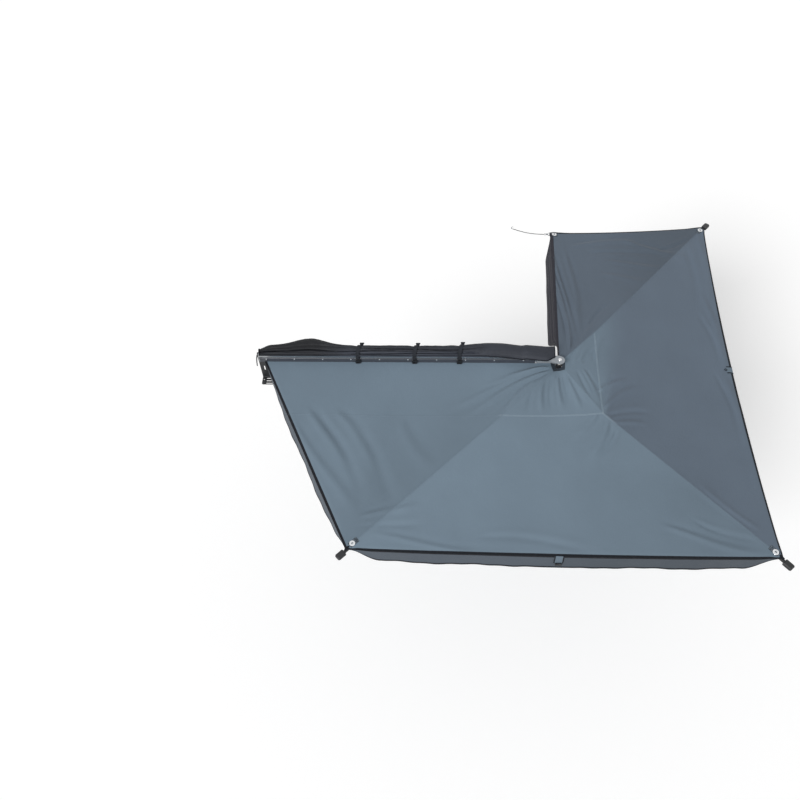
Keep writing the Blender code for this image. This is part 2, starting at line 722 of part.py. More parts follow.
def make_pin_set(materials):
    """Pin, lock nut, thrust washer below the hubs and spacer sleeve above them."""
    at_pin = Matrix.Translation((PIN_X, PIN_Y, 0))
    nut_top = BASE_PLATE_UNDER_Z - GAP
    pin_foot = nut_top - NUT_HEIGHT - PIN_TAIL
    head_under = WEB_TOP_Z + GAP
    chamfer = PIN_RADIUS / 7
    profile = [
        (PIN_RADIUS - chamfer, pin_foot),
        (PIN_RADIUS, pin_foot + chamfer),
        (PIN_RADIUS, head_under),
        (PIN_HEAD_RADIUS, head_under),
        (PIN_HEAD_RADIUS, head_under + PIN_HEAD_HEIGHT - chamfer),
        (PIN_HEAD_RADIUS - chamfer, head_under + PIN_HEAD_HEIGHT),
    ]
    place("hinge_pin", turned(profile), materials["steel"], matrix=at_pin, smooth=True)
    corner = NUT_ACROSS_FLATS / 2 / math.cos(math.pi / 6)
    nut = prism(polygon(corner, 6), nut_top - NUT_HEIGHT, nut_top)
    bore = turned([(PIN_BORE_RADIUS, nut_top - NUT_HEIGHT - 0.01), (PIN_BORE_RADIUS, nut_top + 0.01)])
    place("hinge_nut", combine(nut, bore, "DIFFERENCE"), materials["steel"], matrix=at_pin)
    make_spacer("base_washer", BOSS_TOP_Z + GAP, WASHER_THICKNESS, WASHER_RADIUS, materials)
    sleeve_foot = HUB_TOP_Z + GAP
    make_spacer("pin_sleeve", sleeve_foot, PLATE_UNDER_Z - GAP - sleeve_foot, SLEEVE_RADIUS,
                materials)


def make_spacer(name, foot, height, radius, materials, parent=None):
    """Nylon ring round the pin; foot is its lower face, in the parent's space if it has one."""
    outline = [(PIN_BORE_RADIUS, foot), (radius, foot), (radius, foot + height),
               (PIN_BORE_RADIUS, foot + height)]
    matrix = None if parent else Matrix.Translation((PIN_X, PIN_Y, 0))
    place(name, turned_ring(outline), materials["nylon"], parent, matrix, smooth=True)


# Arms

def pivot_matrix(arm):
    turn = Matrix.Rotation(arm.heading, 4, "Z")
    return Matrix.Translation((PIN_X, PIN_Y, arm.level)) @ turn


def make_knuckle(arm, pivot, materials):
    """Hub on the pin with a drooping neck and the plug that the arm tube slides over."""
    hub = turned([(HUB_RADIUS - 0.001, -HUB_HEIGHT / 2), (HUB_RADIUS, -HUB_HEIGHT / 2 + 0.001),
                  (HUB_RADIUS, HUB_HEIGHT / 2 - 0.001), (HUB_RADIUS - 0.001, HUB_HEIGHT / 2)])
    plug_width = TUBE_WIDTH - 2 * TUBE_WALL - 2 * GAP
    plug_height = TUBE_HEIGHT - 2 * TUBE_WALL - 2 * GAP
    plug_end = NECK_LENGTH + PLUG_LENGTH
    shoulder = NECK_LENGTH - 0.014
    rings = [
        beam_ring(0.0, NECK_WIDTH, NECK_HEIGHT, TUBE_CORNER),
        beam_ring(HUB_RADIUS + 0.012, NECK_WIDTH, NECK_HEIGHT, TUBE_CORNER),
        beam_ring(shoulder, TUBE_WIDTH, TUBE_HEIGHT, TUBE_CORNER),
        beam_ring(NECK_LENGTH, TUBE_WIDTH, TUBE_HEIGHT, TUBE_CORNER),
        beam_ring(NECK_LENGTH, plug_width, plug_height, TUBE_CORNER / 3),
        beam_ring(plug_end - 0.003, plug_width, plug_height, TUBE_CORNER / 3),
        beam_ring(plug_end, plug_width - 0.003, plug_height - 0.003, TUBE_CORNER / 3),
    ]
    neck = bridge(rings, closed=False)
    bmesh.ops.rotate(neck, verts=neck.verts, cent=(0, 0, 0),
                     matrix=Matrix.Rotation(DROOP, 3, "Y"))
    bore = turned([(HUB_BORE_RADIUS, -HUB_HEIGHT), (HUB_BORE_RADIUS, HUB_HEIGHT)])
    body = combine(combine(hub, neck, "UNION"), bore, "DIFFERENCE")
    place("knuckle_" + arm.name, body, materials["black_plastic"], pivot)
    bush = [(PIN_BORE_RADIUS, -HUB_HEIGHT / 2), (BUSH_RADIUS, -HUB_HEIGHT / 2),
            (BUSH_RADIUS, HUB_HEIGHT / 2), (PIN_BORE_RADIUS, HUB_HEIGHT / 2)]
    place("bush_" + arm.name, turned_ring(bush), materials["nylon"], pivot, smooth=True)


def make_tubes(arm, axis, materials):
    """Outer tube and the extension tube that telescopes in it."""
    inner_corner = TUBE_CORNER - TUBE_WALL
    outer_rings = [
        beam_ring(TUBE_START, TUBE_WIDTH, TUBE_HEIGHT, TUBE_CORNER),
        beam_ring(TUBE_END, TUBE_WIDTH, TUBE_HEIGHT, TUBE_CORNER),
        beam_ring(TUBE_END, TUBE_WIDTH - 2 * TUBE_WALL, TUBE_HEIGHT - 2 * TUBE_WALL, inner_corner),
        beam_ring(TUBE_START, TUBE_WIDTH - 2 * TUBE_WALL, TUBE_HEIGHT - 2 * TUBE_WALL,
                  inner_corner),
    ]
    place("outer_tube_" + arm.name, bridge(outer_rings, closed=True), materials["aluminium"], axis)
    end = arm.reach - INNER_SHORT_OF_CORNER
    hollow_width = INNER_WIDTH - 2 * INNER_WALL
    hollow_height = INNER_HEIGHT - 2 * INNER_WALL
    inner_rings = [
        beam_ring(INNER_START, INNER_WIDTH, INNER_HEIGHT, TUBE_CORNER / 2),
        beam_ring(end, INNER_WIDTH, INNER_HEIGHT, TUBE_CORNER / 2),
        beam_ring(end, hollow_width, hollow_height, TUBE_CORNER / 6),
        beam_ring(INNER_START, hollow_width, hollow_height, TUBE_CORNER / 6),
    ]
    place("extension_tube_" + arm.name, bridge(inner_rings, closed=True), materials["aluminium"],
          axis)


def lever_place():
    """Lever hinge in the arm's frame."""
    return TUBE_END + COLLAR_PAST_TUBE / 2, COLLAR_SIZE / 2 + LEVER_STANDOFF


def make_collar(arm, axis, materials):
    """Clamp collar across the end of the outer tube, with two ears for its lever."""
    start = TUBE_END - COLLAR_ON_TUBE
    end = TUBE_END + COLLAR_PAST_TUBE
    step = TUBE_END + GAP
    bore_width = TUBE_WIDTH + 2 * GAP
    bore_height = TUBE_HEIGHT + 2 * GAP
    neck_width = INNER_WIDTH + 2 * GAP
    neck_height = INNER_HEIGHT + 2 * GAP
    rings = [
        beam_ring(start, COLLAR_SIZE - 0.002, COLLAR_SIZE - 0.002, COLLAR_CORNER - 0.001),
        beam_ring(start + 0.001, COLLAR_SIZE, COLLAR_SIZE, COLLAR_CORNER),
        beam_ring(end - 0.001, COLLAR_SIZE, COLLAR_SIZE, COLLAR_CORNER),
        beam_ring(end, COLLAR_SIZE - 0.002, COLLAR_SIZE - 0.002, COLLAR_CORNER - 0.001),
        beam_ring(end, neck_width, neck_height, TUBE_CORNER / 2 + GAP),
        beam_ring(step, neck_width, neck_height, TUBE_CORNER / 2 + GAP),
        beam_ring(step, bore_width, bore_height, TUBE_CORNER),
        beam_ring(start, bore_width, bore_height, TUBE_CORNER),
    ]
    body = bridge(rings, closed=True)
    hinge_x, hinge_y = lever_place()
    inner = COLLAR_SIZE / 2 - 0.001
    ear = [(hinge_x + EAR_RADIUS, inner)]
    ear += arc((hinge_x, hinge_y), EAR_RADIUS, 0.0, math.pi, 10)
    ear += [(hinge_x - EAR_RADIUS, inner)]
    for side in (-1, 1):
        near = side * (LEVER_HEIGHT / 2 + GAP)
        far = near + side * EAR_THICKNESS
        body = combine(body, prism(ear, min(near, far), max(near, far)), "UNION")
    bore = turned([(LEVER_PIN_RADIUS + GAP, -COLLAR_SIZE), (LEVER_PIN_RADIUS + GAP, COLLAR_SIZE)], 16)
    bmesh.ops.translate(bore, verts=bore.verts, vec=(hinge_x, hinge_y, 0.0))
    body = combine(body, bore, "DIFFERENCE")
    place("collar_" + arm.name, body, materials["black_plastic"], axis)


def make_lever(arm, axis, materials):
    """Flip lever: an eye and pin between the collar's ears and a curved thumb plate."""
    hinge_x, hinge_y = lever_place()
    eye_radius = EAR_RADIUS - 0.001
    inner = -LEVER_STANDOFF + 2 * GAP
    outline = arc((0.0, 0.0), eye_radius, -math.pi / 2, math.pi / 2, 8)
    tip = -LEVER_LENGTH
    outline += [(-0.016, inner + LEVER_THICKNESS + 0.002), (tip + 0.012, inner + LEVER_THICKNESS),
                (tip, inner + LEVER_THICKNESS + 0.004), (tip, inner + 0.003),
                (tip + 0.012, inner), (-0.008, inner)]
    half = LEVER_HEIGHT / 2
    body = prism(outline, -half, half)
    reach = half + GAP + EAR_THICKNESS
    pin = turned([(LEVER_PIN_RADIUS, -reach), (LEVER_PIN_RADIUS, reach)], 16)
    place("lever_" + arm.name, combine(body, pin, "UNION"), materials["black_plastic"], axis,
          Matrix.Translation((hinge_x, hinge_y, 0.0)))


def make_tip_cap(arm, axis, materials):
    """Plastic tip: a plug in the extension tube, a slim neck and a rounded head."""
    tube_end = arm.reach - INNER_SHORT_OF_CORNER
    seat = tube_end + GAP
    plug_width = INNER_WIDTH - 2 * INNER_WALL - 2 * GAP
    plug_height = INNER_HEIGHT - 2 * INNER_WALL - 2 * GAP
    head = arm.reach + CAP_HEAD_START
    tip = head + CAP_HEAD_LENGTH
    ease = 0.004
    rings = [
        beam_ring(tube_end - CAP_PLUG_LENGTH, plug_width, plug_height, TUBE_CORNER / 6),
        beam_ring(seat, plug_width, plug_height, TUBE_CORNER / 6),
        beam_ring(seat, INNER_WIDTH, INNER_HEIGHT, TUBE_CORNER / 2),
        beam_ring(seat + CAP_COLLAR_LENGTH, INNER_WIDTH, INNER_HEIGHT, TUBE_CORNER / 2),
        beam_ring(seat + CAP_COLLAR_LENGTH, CAP_NECK_WIDTH, CAP_NECK_HEIGHT, TUBE_CORNER),
        beam_ring(head, CAP_NECK_WIDTH, CAP_NECK_HEIGHT, TUBE_CORNER),
        beam_ring(head, CAP_HEAD_WIDTH - 2 * ease, CAP_HEAD_HEIGHT - 2 * ease, ease),
        beam_ring(head + ease, CAP_HEAD_WIDTH, CAP_HEAD_HEIGHT, 2 * ease),
        beam_ring(tip - 2 * ease, CAP_HEAD_WIDTH, CAP_HEAD_HEIGHT, 2 * ease),
        beam_ring(tip, CAP_HEAD_WIDTH - 3 * ease, CAP_HEAD_HEIGHT - 2 * ease, ease),
    ]
    place("tip_cap_" + arm.name, bridge(rings, closed=False), materials["black_plastic"], axis)


# Roof fabric, in coordinates whose origin lies on the pin's axis

def heading_vector(angle):
    return Vector((math.cos(angle), math.sin(angle), 0.0))


def inner_point(arm):
    point = FABRIC_INNER_RADIUS * heading_vector(arm.heading)
    point.z = arm.inner_z
    return point


def tip_point(arm):
    point = arm.reach * math.cos(DROOP) * heading_vector(arm.heading)
    point.z = arm.level - arm.reach * math.sin(DROOP) + FABRIC_ABOVE_ARM
    return point


def ridge_point(arm, share):
    """Point of the fabric above an arm; the seam is drawn sideways near the hinge."""
    point = inner_point(arm).lerp(tip_point(arm), share)
    knee = MITRE_RADIUS / arm.reach
    near = share / knee
    far = (1 - share) / (1 - knee)
    side = heading_vector(arm.heading - math.pi / 2)
    return point + side * arm.bend * min(near, far)


def clamp_point(share):
    """Point of the roof's clamped edge, from the hinge to the rail's front end."""
    start = RAIL_LENGTH / 2 + CLAMP_EDGE_BEYOND_RAIL - PIN_X
    end = -RAIL_LENGTH / 2 + CLAMP_EDGE_FRONT_MARGIN - PIN_X
    return Vector((start + (end - start) * share, CLAMP_EDGE_Y - PIN_Y, CLAMP_EDGE_Z))


def edge_point(share):
    """Point of the roof's free edge, from the hinge to the tethered corner."""
    heading = math.radians(CORNER_D_HEADING)
    start = FABRIC_INNER_RADIUS * heading_vector(heading)
    start.z = FABRIC_D_INNER_Z
    end = CORNER_D_REACH * heading_vector(heading)
    end.z = CORNER_D_Z
    return start.lerp(end, share)


Sector = namedtuple("Sector", "name first second bow droop columns waves clear_at")
SECTORS = (
    Sector("front", clamp_point, lambda t: ridge_point(ARM_A, t), 0.000, 0.010, 12, 3, None),
    Sector("near", lambda t: ridge_point(ARM_A, t), lambda t: ridge_point(ARM_B, t),
           0.000, 0.030, 20, 5, 0.5),
    Sector("rear", lambda t: ridge_point(ARM_B, t), lambda t: ridge_point(ARM_C, t),
           0.030, 0.020, 20, 5, 0.5),
    Sector("far", lambda t: ridge_point(ARM_C, t), edge_point, 0.008, 0.010, 10, 2, None),
)
ROOF_ROWS = 7
SKIRT_ROWS = 2


def outward(sector):
    """Horizontal unit vector square to the sector's outer edge, away from the pin."""
    start = sector.first(1.0)
    end = sector.second(1.0)
    along = (end - start).normalized()
    normal = Vector((along.y, -along.x, 0.0)).normalized()
    if normal.dot((start + end) / 2) < 0:
        normal.negate()
    return normal


def roof_point(sector, across, share):
    """Fabric surface: across runs between the sector's sides, share from hinge to edge."""
    start = sector.first(share)
    end = sector.second(share)
    point = start.lerp(end, across)
    crown = 4 * across * (1 - across)
    point -= outward(sector) * sector.bow * crown * share
    point.z -= sector.droop * crown * share
    point.z -= ROOF_SAG * math.sin(math.pi * across) * math.sin(math.pi * share)
    inset = (end - start).normalized() * GAP
    if across == 0:
        point += inset
    if across == 1:
        point -= inset
    return point


def edge_length(sector):
    return (sector.second(1.0) - sector.first(1.0)).length


def panel_columns(sector):
    """Shares along the outer edge: one column just inside each corner, even ones between."""
    margin = VALANCE_MARGIN / edge_length(sector)
    inner = [margin + (1 - 2 * margin) * i / sector.columns for i in range(sector.columns + 1)]
    return [0.0] + inner + [1.0]


def skirt_height(sector, across):
    from_end = min(across, 1 - across) * edge_length(sector) - VALANCE_MARGIN
    rise = smooth_step(from_end / VALANCE_TAPER)
    return VALANCE_END_HEIGHT + (VALANCE_HEIGHT - VALANCE_END_HEIGHT) * rise


def skirt_wave(sector, across):
    """Sideways swing of the valance, still at its ends and where a tab hangs on it."""
    calm = smooth_step(min(across, 1 - across) / 0.12)
    if sector.clear_at is not None:
        calm *= smooth_step((abs(across - sector.clear_at) - 0.03) / 0.06)
    return VALANCE_WAVE * calm * (1 - math.cos(2 * math.pi * sector.waves * across)) / 2


def make_panel(sector, materials):
    """One roof panel with the valance that hangs from its outer edge, as one closed sheet."""
    columns = panel_columns(sector)
    normal = outward(sector)
    drop = Vector((0.0, 0.0, -FABRIC_THICKNESS))
    inward = []
    for across in columns:
        radial = roof_point(sector, across, 1.0) - roof_point(sector, across, 0.0)
        radial.z = 0.0
        radial.normalize()
        inward.append(-radial * FABRIC_THICKNESS / radial.dot(normal))
    grid = []
    offsets = []
    for row in range(ROOF_ROWS + 1):
        grid.append([roof_point(sector, across, row / ROOF_ROWS) for across in columns])
        offsets.append([drop] * len(columns))
    offsets[-1] = [drop + move for move in inward]
    for row in range(1, SKIRT_ROWS + 1):
        share = row / SKIRT_ROWS
        points = []
        for across in columns:
            point = roof_point(sector, across, 1.0)
            point.z -= skirt_height(sector, across) * share
            points.append(point - normal * skirt_wave(sector, across) * share)
        grid.append(points)
        offsets.append(inward)
    body = slab(grid, offsets)
    bmesh.ops.triangulate(body, faces=body.faces)
    for frame in eyelet_frames():
        cutter = turned([(EYELET_BARREL_RADIUS + GAP, -0.012), (EYELET_BARREL_RADIUS + GAP, 0.012)],
                        20)
        bmesh.ops.transform(cutter, verts=cutter.verts, matrix=frame)
        body = combine(body, cutter, "DIFFERENCE")
    place("canopy_" + sector.name + "_panel", body, materials["canopy"],
          matrix=Matrix.Translation((PIN_X, PIN_Y, 0)), smooth=True)


def surface_normal(sector, across, share):
    step = 0.01
    across_low = max(across - step, 0.001)
    across_high = min(across + step, 0.999)
    low = roof_point(sector, across_low, share)
    high = roof_point(sector, across_high, share)
    middle = (across_low + across_high) / 2
    near = roof_point(sector, middle, share - step)
    far = roof_point(sector, middle, share)
    normal = (high - low).cross(far - near).normalized()
    if normal.z < 0:
        normal.negate()
    return normal


def sheet_frame(origin, along, normal):
    """Matrix with X along the given direction in the sheet and Z on its normal."""
    z_axis = normal.normalized()
    x_axis = (along - z_axis * along.dot(z_axis)).normalized()
    y_axis = z_axis.cross(x_axis)
    matrix = Matrix((x_axis, y_axis, z_axis)).transposed().to_4x4()
    matrix.translation = origin
    return matrix


def corner_frame(index):
    """Frame at an arm's fabric corner: X outwards along the ridge, Z off the cloth."""
    arm = ARMS[index]
    along = ridge_point(arm, 1.0) - ridge_point(arm, 0.95)
    share = 1 - EYELET_INSET / arm.reach
    normal = surface_normal(SECTORS[index], 1.0, share)
    normal += surface_normal(SECTORS[index + 1], 0.0, share)
    return sheet_frame(tip_point(arm), along, normal)


def corner_d_frame():
    along = edge_point(1.0) - edge_point(0.95)
    normal = surface_normal(SECTORS[3], 1.0, 1 - EYELET_D_INSET / CORNER_D_REACH)
    return sheet_frame(edge_point(1.0), along, normal)


def eyelet_frames():
    frames = [corner_frame(i) @ Matrix.Translation((-EYELET_INSET, 0, 0)) for i in range(3)]
    inset = Matrix.Translation((-EYELET_D_INSET, -EYELET_D_INSET, 0))
    frames.append(corner_d_frame() @ inset)
    return frames


# Corner webbing, eyelets and edge tabs

def make_eyelet(name, frame, fall, materials):
    """Two-part steel eyelet; fall is how far the roof drops away from it on each side."""
    top = TAB_LIFT + TAB_THICKNESS + GAP
    under = -FABRIC_THICKNESS - fall
    outline = [
        (EYELET_BORE_RADIUS, under - EYELET_PLATE),
        (EYELET_BACK_RADIUS, under - EYELET_PLATE),
        (EYELET_BACK_RADIUS, under),
        (EYELET_BARREL_RADIUS, under),
        (EYELET_BARREL_RADIUS, top),
        (EYELET_FLANGE_RADIUS, top),
        (EYELET_FLANGE_RADIUS - EYELET_PLATE, top + EYELET_PLATE),
        (EYELET_BARREL_RADIUS + EYELET_PLATE, top + 1.4 * EYELET_PLATE),
        (EYELET_BORE_RADIUS, top + EYELET_PLATE),
    ]
    at_pin = Matrix.Translation((PIN_X, PIN_Y, 0))
    place(name, turned_ring(outline, 20), materials["steel"], matrix=at_pin @ frame, smooth=True)


def eyelet_hole(x, y):
    radius = EYELET_BARREL_RADIUS + GAP
    cutter = turned([(radius, -0.01), (radius, 0.01)], 20)
    bmesh.ops.translate(cutter, verts=cutter.verts, vec=(x, y, 0.0))
    return cutter


def make_corner_tab(index, materials):
    """Webbing from under the eyelet over the roof's corner and down onto the tip cap's neck."""
    arm = ARMS[index]
    cloth = Matrix.Translation((PIN_X, PIN_Y, 0)) @ corner_frame(index)
    on_arm = pivot_matrix(arm) @ Matrix.Rotation(DROOP, 4, "Y")
    on_arm = on_arm @ Matrix.Translation((arm.reach, 0.0, 0.0))
    top = TAB_LIFT + TAB_THICKNESS
    neck = CAP_NECK_HEIGHT / 2 + GAP
    wall = TAB_WALL_START + TAB_THICKNESS
    end = CAP_HEAD_START - GAP
    wide = -EYELET_INSET + EYELET_FLANGE_RADIUS
    narrow = wide + 0.015
    outer = [(cloth, -TAB_INNER_END, top), (cloth, wide, top), (cloth, narrow, top),
             (cloth, wall, top), (on_arm, wall, neck + TAB_THICKNESS),
             (on_arm, end, neck + TAB_THICKNESS)]
    inner = [(cloth, -TAB_INNER_END, TAB_LIFT), (cloth, wide, TAB_LIFT),
             (cloth, narrow, TAB_LIFT), (cloth, TAB_WALL_START, TAB_LIFT),
             (on_arm, TAB_WALL_START, neck), (on_arm, end, neck)]
    grid = []
    offsets = []
    for (frame, x, z), (_, inner_x, inner_z) in zip(outer, inner):
        width = TAB_INNER_WIDTH if x < wide + 1e-6 else TAB_OUTER_WIDTH
        row = [frame @ Vector((x, side * width / 2, z)) for side in (-1, 1)]
        back = [frame @ Vector((inner_x, side * width / 2, inner_z)) for side in (-1, 1)]
        grid.append(row)
        offsets.append([b - a for a, b in zip(row, back)])
    body = slab(grid, offsets)
    bmesh.ops.triangulate(body, faces=body.faces)
    hole = eyelet_hole(-EYELET_INSET, 0.0)
    bmesh.ops.transform(hole, verts=hole.verts, matrix=cloth)
    place("corner_tab_" + arm.name, combine(body, hole, "DIFFERENCE"), materials["webbing"])


def make_corner_d(materials):
    """Webbing square at the tethered corner."""
    size = 2 * EYELET_D_INSET
    body = box(-size, -GAP, -size, -GAP, TAB_LIFT, TAB_LIFT + TAB_THICKNESS)
    body = combine(body, eyelet_hole(-EYELET_D_INSET, -EYELET_D_INSET), "DIFFERENCE")
    at_pin = Matrix.Translation((PIN_X, PIN_Y, 0))
    place("corner_tab_d", body, materials["webbing"], matrix=at_pin @ corner_d_frame())


def make_edge_tab(name, sector, materials):
    """Webbing tab with a rolled toggle, sewn outside the valance at the middle of an edge."""
    normal = outward(sector)
    top = roof_point(sector, sector.clear_at, 1.0)
    along = Vector((-normal.y, normal.x, 0.0))
    frame = Matrix((along, normal, Vector((0, 0, 1)))).transposed().to_4x4()
    frame.translation = top
    half = EDGE_TAB_WIDTH / 2
    body = box(-half, half, GAP, GAP + TAB_THICKNESS, -EDGE_TAB_HEIGHT, 0.0)
    toggle = turned([(EDGE_TAB_KNOB_RADIUS, -EDGE_TAB_KNOB_LENGTH / 2),
                     (EDGE_TAB_KNOB_RADIUS, EDGE_TAB_KNOB_LENGTH / 2)], 12)
    turn = Matrix.Rotation(math.pi / 2, 3, "Y")
    bmesh.ops.rotate(toggle, verts=toggle.verts, cent=(0, 0, 0), matrix=turn)
    bmesh.ops.translate(toggle, verts=toggle.verts,
                        vec=(0.0, GAP + EDGE_TAB_KNOB_RADIUS, -EDGE_TAB_HEIGHT))
    at_pin = Matrix.Translation((PIN_X, PIN_Y, 0))
    place(name, combine(body, toggle, "UNION"), materials["webbing"], matrix=at_pin @ frame)


def make_far_edge(materials):
    """Edge strap from the hinge to the tethered corner and the flap that hangs from it."""
    steps = 18
    end_share = 1.0
    start_share = EDGE_STRAP_START / CORNER_D_REACH
    heading = math.radians(CORNER_D_HEADING)
    side = heading_vector(heading + math.pi / 2)
    grid = [[] for _ in range(5)]
    offsets = [[] for _ in range(5)]
    drop = Vector((0, 0, -FABRIC_THICKNESS))
    for i in range(steps + 1):
        share = start_share + (end_share - start_share) * i / steps
        base = edge_point(share)
        along = share * CORNER_D_REACH
        from_end = min(along - EDGE_STRAP_START, CORNER_D_REACH - along)
        hang = smooth_step((from_end - FLAP_MARGIN) / FLAP_TAPER)
        fall = FABRIC_THICKNESS + TAB_LIFT + FLAP_HEIGHT * hang
        slant = FLAP_SLANT * fall / FLAP_HEIGHT
        grid[0].append(base + side * GAP)
        grid[1].append(base + side * EDGE_STRAP_WIDTH)
        offsets[0].append(drop)
        offsets[1].append(drop - side * FABRIC_THICKNESS)
        for row in range(1, 4):
            part = row / 3
            grid[row + 1].append(base + side * (EDGE_STRAP_WIDTH + slant * part)
                                 + Vector((0, 0, -fall * part)))
            offsets[row + 1].append(-side * FABRIC_THICKNESS)
    body = slab(grid, offsets)
    place("far_edge_flap", body, materials["dark_cloth"],
          matrix=Matrix.Translation((PIN_X, PIN_Y, 0)), smooth=True)


# Snap hook, gate and tether

def hook_frame():
    """Frame of the snap hook: origin at the eyelet, X towards the tether, Z up."""
    centre = Matrix.Translation((PIN_X, PIN_Y, 0)) @ eyelet_frames()[3].translation
    turn = Matrix.Rotation(math.radians(HOOK_HEADING), 4, "Z")
    return Matrix.Translation(centre) @ turn


def hook_levels():
    """Centre lines of the hook's lower bar and of its upper bar, from the eyelet's centre."""
    low = -FABRIC_THICKNESS - TAB_LIFT - EYELET_PLATE - 2 * GAP - HOOK_ROD_RADIUS
    return low, low + 2 * HOOK_BEND_RADIUS


def hook_swivel_x():
    return HOOK_BEND_RADIUS * 0.8 + HOOK_STRAIGHT


def make_hook(frame, materials):
    """Snap hook whose bend passes through the eyelet, with its swivel and eye."""
    low, high = hook_levels()
    bend_x = HOOK_BEND_RADIUS * 0.8
    middle = (low + high) / 2
    swivel = hook_swivel_x()
    path = [(swivel, 0.0, middle - 0.002), (swivel - 0.008, 0.0, low + 0.001),
            (swivel - 0.016, 0.0, low)]
    for x, z in arc((bend_x, middle), HOOK_BEND_RADIUS, -math.pi / 2, -3 * math.pi / 2, 12):
        path.append((x, 0.0, z))
    path.append((bend_x + HOOK_NOSE_LENGTH, 0.0, high))
    body = rod(path, HOOK_ROD_RADIUS)
    block = turned([(HOOK_SWIVEL_RADIUS - 0.001, -0.004), (HOOK_SWIVEL_RADIUS, -0.003),
                    (HOOK_SWIVEL_RADIUS, HOOK_SWIVEL_LENGTH - 0.001),
                    (HOOK_SWIVEL_RADIUS - 0.001, HOOK_SWIVEL_LENGTH)], 20)
    bmesh.ops.rotate(block, verts=block.verts, cent=(0, 0, 0),
                     matrix=Matrix.Rotation(math.pi / 2, 3, "Y"))
    bmesh.ops.translate(block, verts=block.verts, vec=(swivel, 0.0, middle))
    body = combine(body, block, "UNION")
    eye_x = swivel + HOOK_SWIVEL_LENGTH + HOOK_EYE_RADIUS
    eye_rod = HOOK_ROD_RADIUS * 0.8
    eye = torus(HOOK_EYE_RADIUS, eye_rod)
    bmesh.ops.translate(eye, verts=eye.verts, vec=(eye_x, 0.0, middle))
    place("snap_hook", combine(body, eye, "UNION"), materials["steel"], matrix=frame, smooth=True)
    return Vector((eye_x + HOOK_EYE_RADIUS + eye_rod, 0.0, middle))


def torus(radius, rod_radius, steps=16, sides=ROD_SIDES):
    """Ring in the XY plane."""
    rings = []
    for i in range(steps):
        turn = 2 * math.pi * i / steps
        spoke = Vector((math.cos(turn), math.sin(turn), 0.0))
        ring = []
        for j in range(sides):
            angle = 2 * math.pi * j / sides
            out = radius + rod_radius * math.cos(angle)
            ring.append(spoke * out + Vector((0, 0, rod_radius * math.sin(angle))))
        rings.append(ring)
    return bridge(rings, closed=True)


def make_gate(frame, materials):
    """Sprung gate bar that closes the hook between its nose and its swivel."""
    low, high = hook_levels()
    start = HOOK_BEND_RADIUS * 0.8 + HOOK_NOSE_LENGTH + GAP
    pivot_x = hook_swivel_x() - 0.007
    pivot = Matrix.Translation((pivot_x, 0.0, high))
    bar = rod([(start - pivot_x, 0.0, 0.0), (-0.004, 0.0, 0.0), (0.0, 0.0, -0.001),
               (0.0015, 0.0, -0.003)], GATE_RADIUS)
    place("snap_gate", bar, materials["steel"], matrix=frame @ pivot, smooth=True)


def make_tether(frame, start, materials):
    """Cord from the hook's eye to the small hook at its far end."""
    first = frame @ (start + Vector((GAP, 0.0, 0.0)))
    last = Vector(CORD_END)
    count = 20
    points = []
    for i in range(count + 1):
        share = i / count
        point = first.lerp(last, share)
        point.z -= CORD_SAG * math.sin(math.pi * share)
        points.append(point)
    curve = bpy.data.curves.new("tether_cord", "CURVE")
    curve.dimensions = "3D"
    curve.bevel_depth = CORD_RADIUS
    curve.bevel_resolution = 2
    curve.use_fill_caps = True
    spline = curve.splines.new("POLY")
    spline.points.add(count)
    for target, point in zip(spline.points, points):
        target.co = (*point, 1.0)
    curve.materials.append(materials["cord"])
    cord = bpy.data.objects.new("tether_cord", curve)
    bpy.context.scene.collection.objects.link(cord)
    direction = (points[-1] - points[-2]).normalized()
    side = Vector((direction.y, -direction.x, 0.0)).normalized()
    end_frame = Matrix((direction, side, direction.cross(side))).transposed().to_4x4()
    end_frame.translation = last + direction * GAP
    path = [(0.0, 0.0, 0.0), (0.012, 0.0, 0.0)]
    bend = arc((0.012, -END_HOOK_RADIUS), END_HOOK_RADIUS, math.pi / 2, -math.pi * 0.6, 10)
    path += [(x, 0.0, z) for x, z in bend[1:]]
    place("tether_end_hook", rod(path, END_HOOK_ROD_RADIUS), materials["steel"],
          matrix=end_frame, smooth=True)


# Travel bag, straps and buckles

def bell(x, centre, spread):
    offset = (x - centre) / spread
    return math.exp(-offset * offset)


def bag_section(x, grow=0.0):
    """Outline of the laid-back bag in (y, z) at x, from its front foot over to its rear foot."""
    flap = smooth_step((x - BAG_FLAP_START_X) / (BAG_REAR_X - BAG_FLAP_START_X))
    front = CLAMP_EDGE_Y - 0.002 - BAG_FLAP_FORWARD * flap
    far = BAG_DEPTH_BEHIND + BAG_BULGE_DEPTH * bell(x, BAG_BULGE_X, BAG_BULGE_SPREAD)
    far += BAG_SWELL_DEPTH * bell(x, BAG_SWELL_X, BAG_SWELL_SPREAD)
    start = -RAIL_LENGTH / 2
    shrink = smooth_step((x - start + 0.05) / 0.15)
    far = -0.012 + (far + 0.012) * shrink
    over_hinge = smooth_step((x - (PIN_X - PLATE_REACH) + BAG_RISE_BEFORE_HINGE) / BAG_RISE_LENGTH)
    floor = RAIL_HEIGHT / 2 + GAP + (WEB_TOP_Z - RAIL_HEIGHT / 2) * over_hinge
    rise = BAG_HEIGHT * (0.55 + 0.45 * shrink) * (1 - 0.35 * flap)
    middle = (front + far) / 2
    half = (far - front) / 2
    points = []
    for i in range(13):
        angle = math.pi - math.pi * i / 12
        lean = 1 + 0.25 * math.cos(angle)
        y = middle + (half + grow) * math.cos(angle)
        z = floor + (rise * lean + grow) * max(math.sin(angle), 0.0) ** 0.75
        points.append((y, z))
    return points


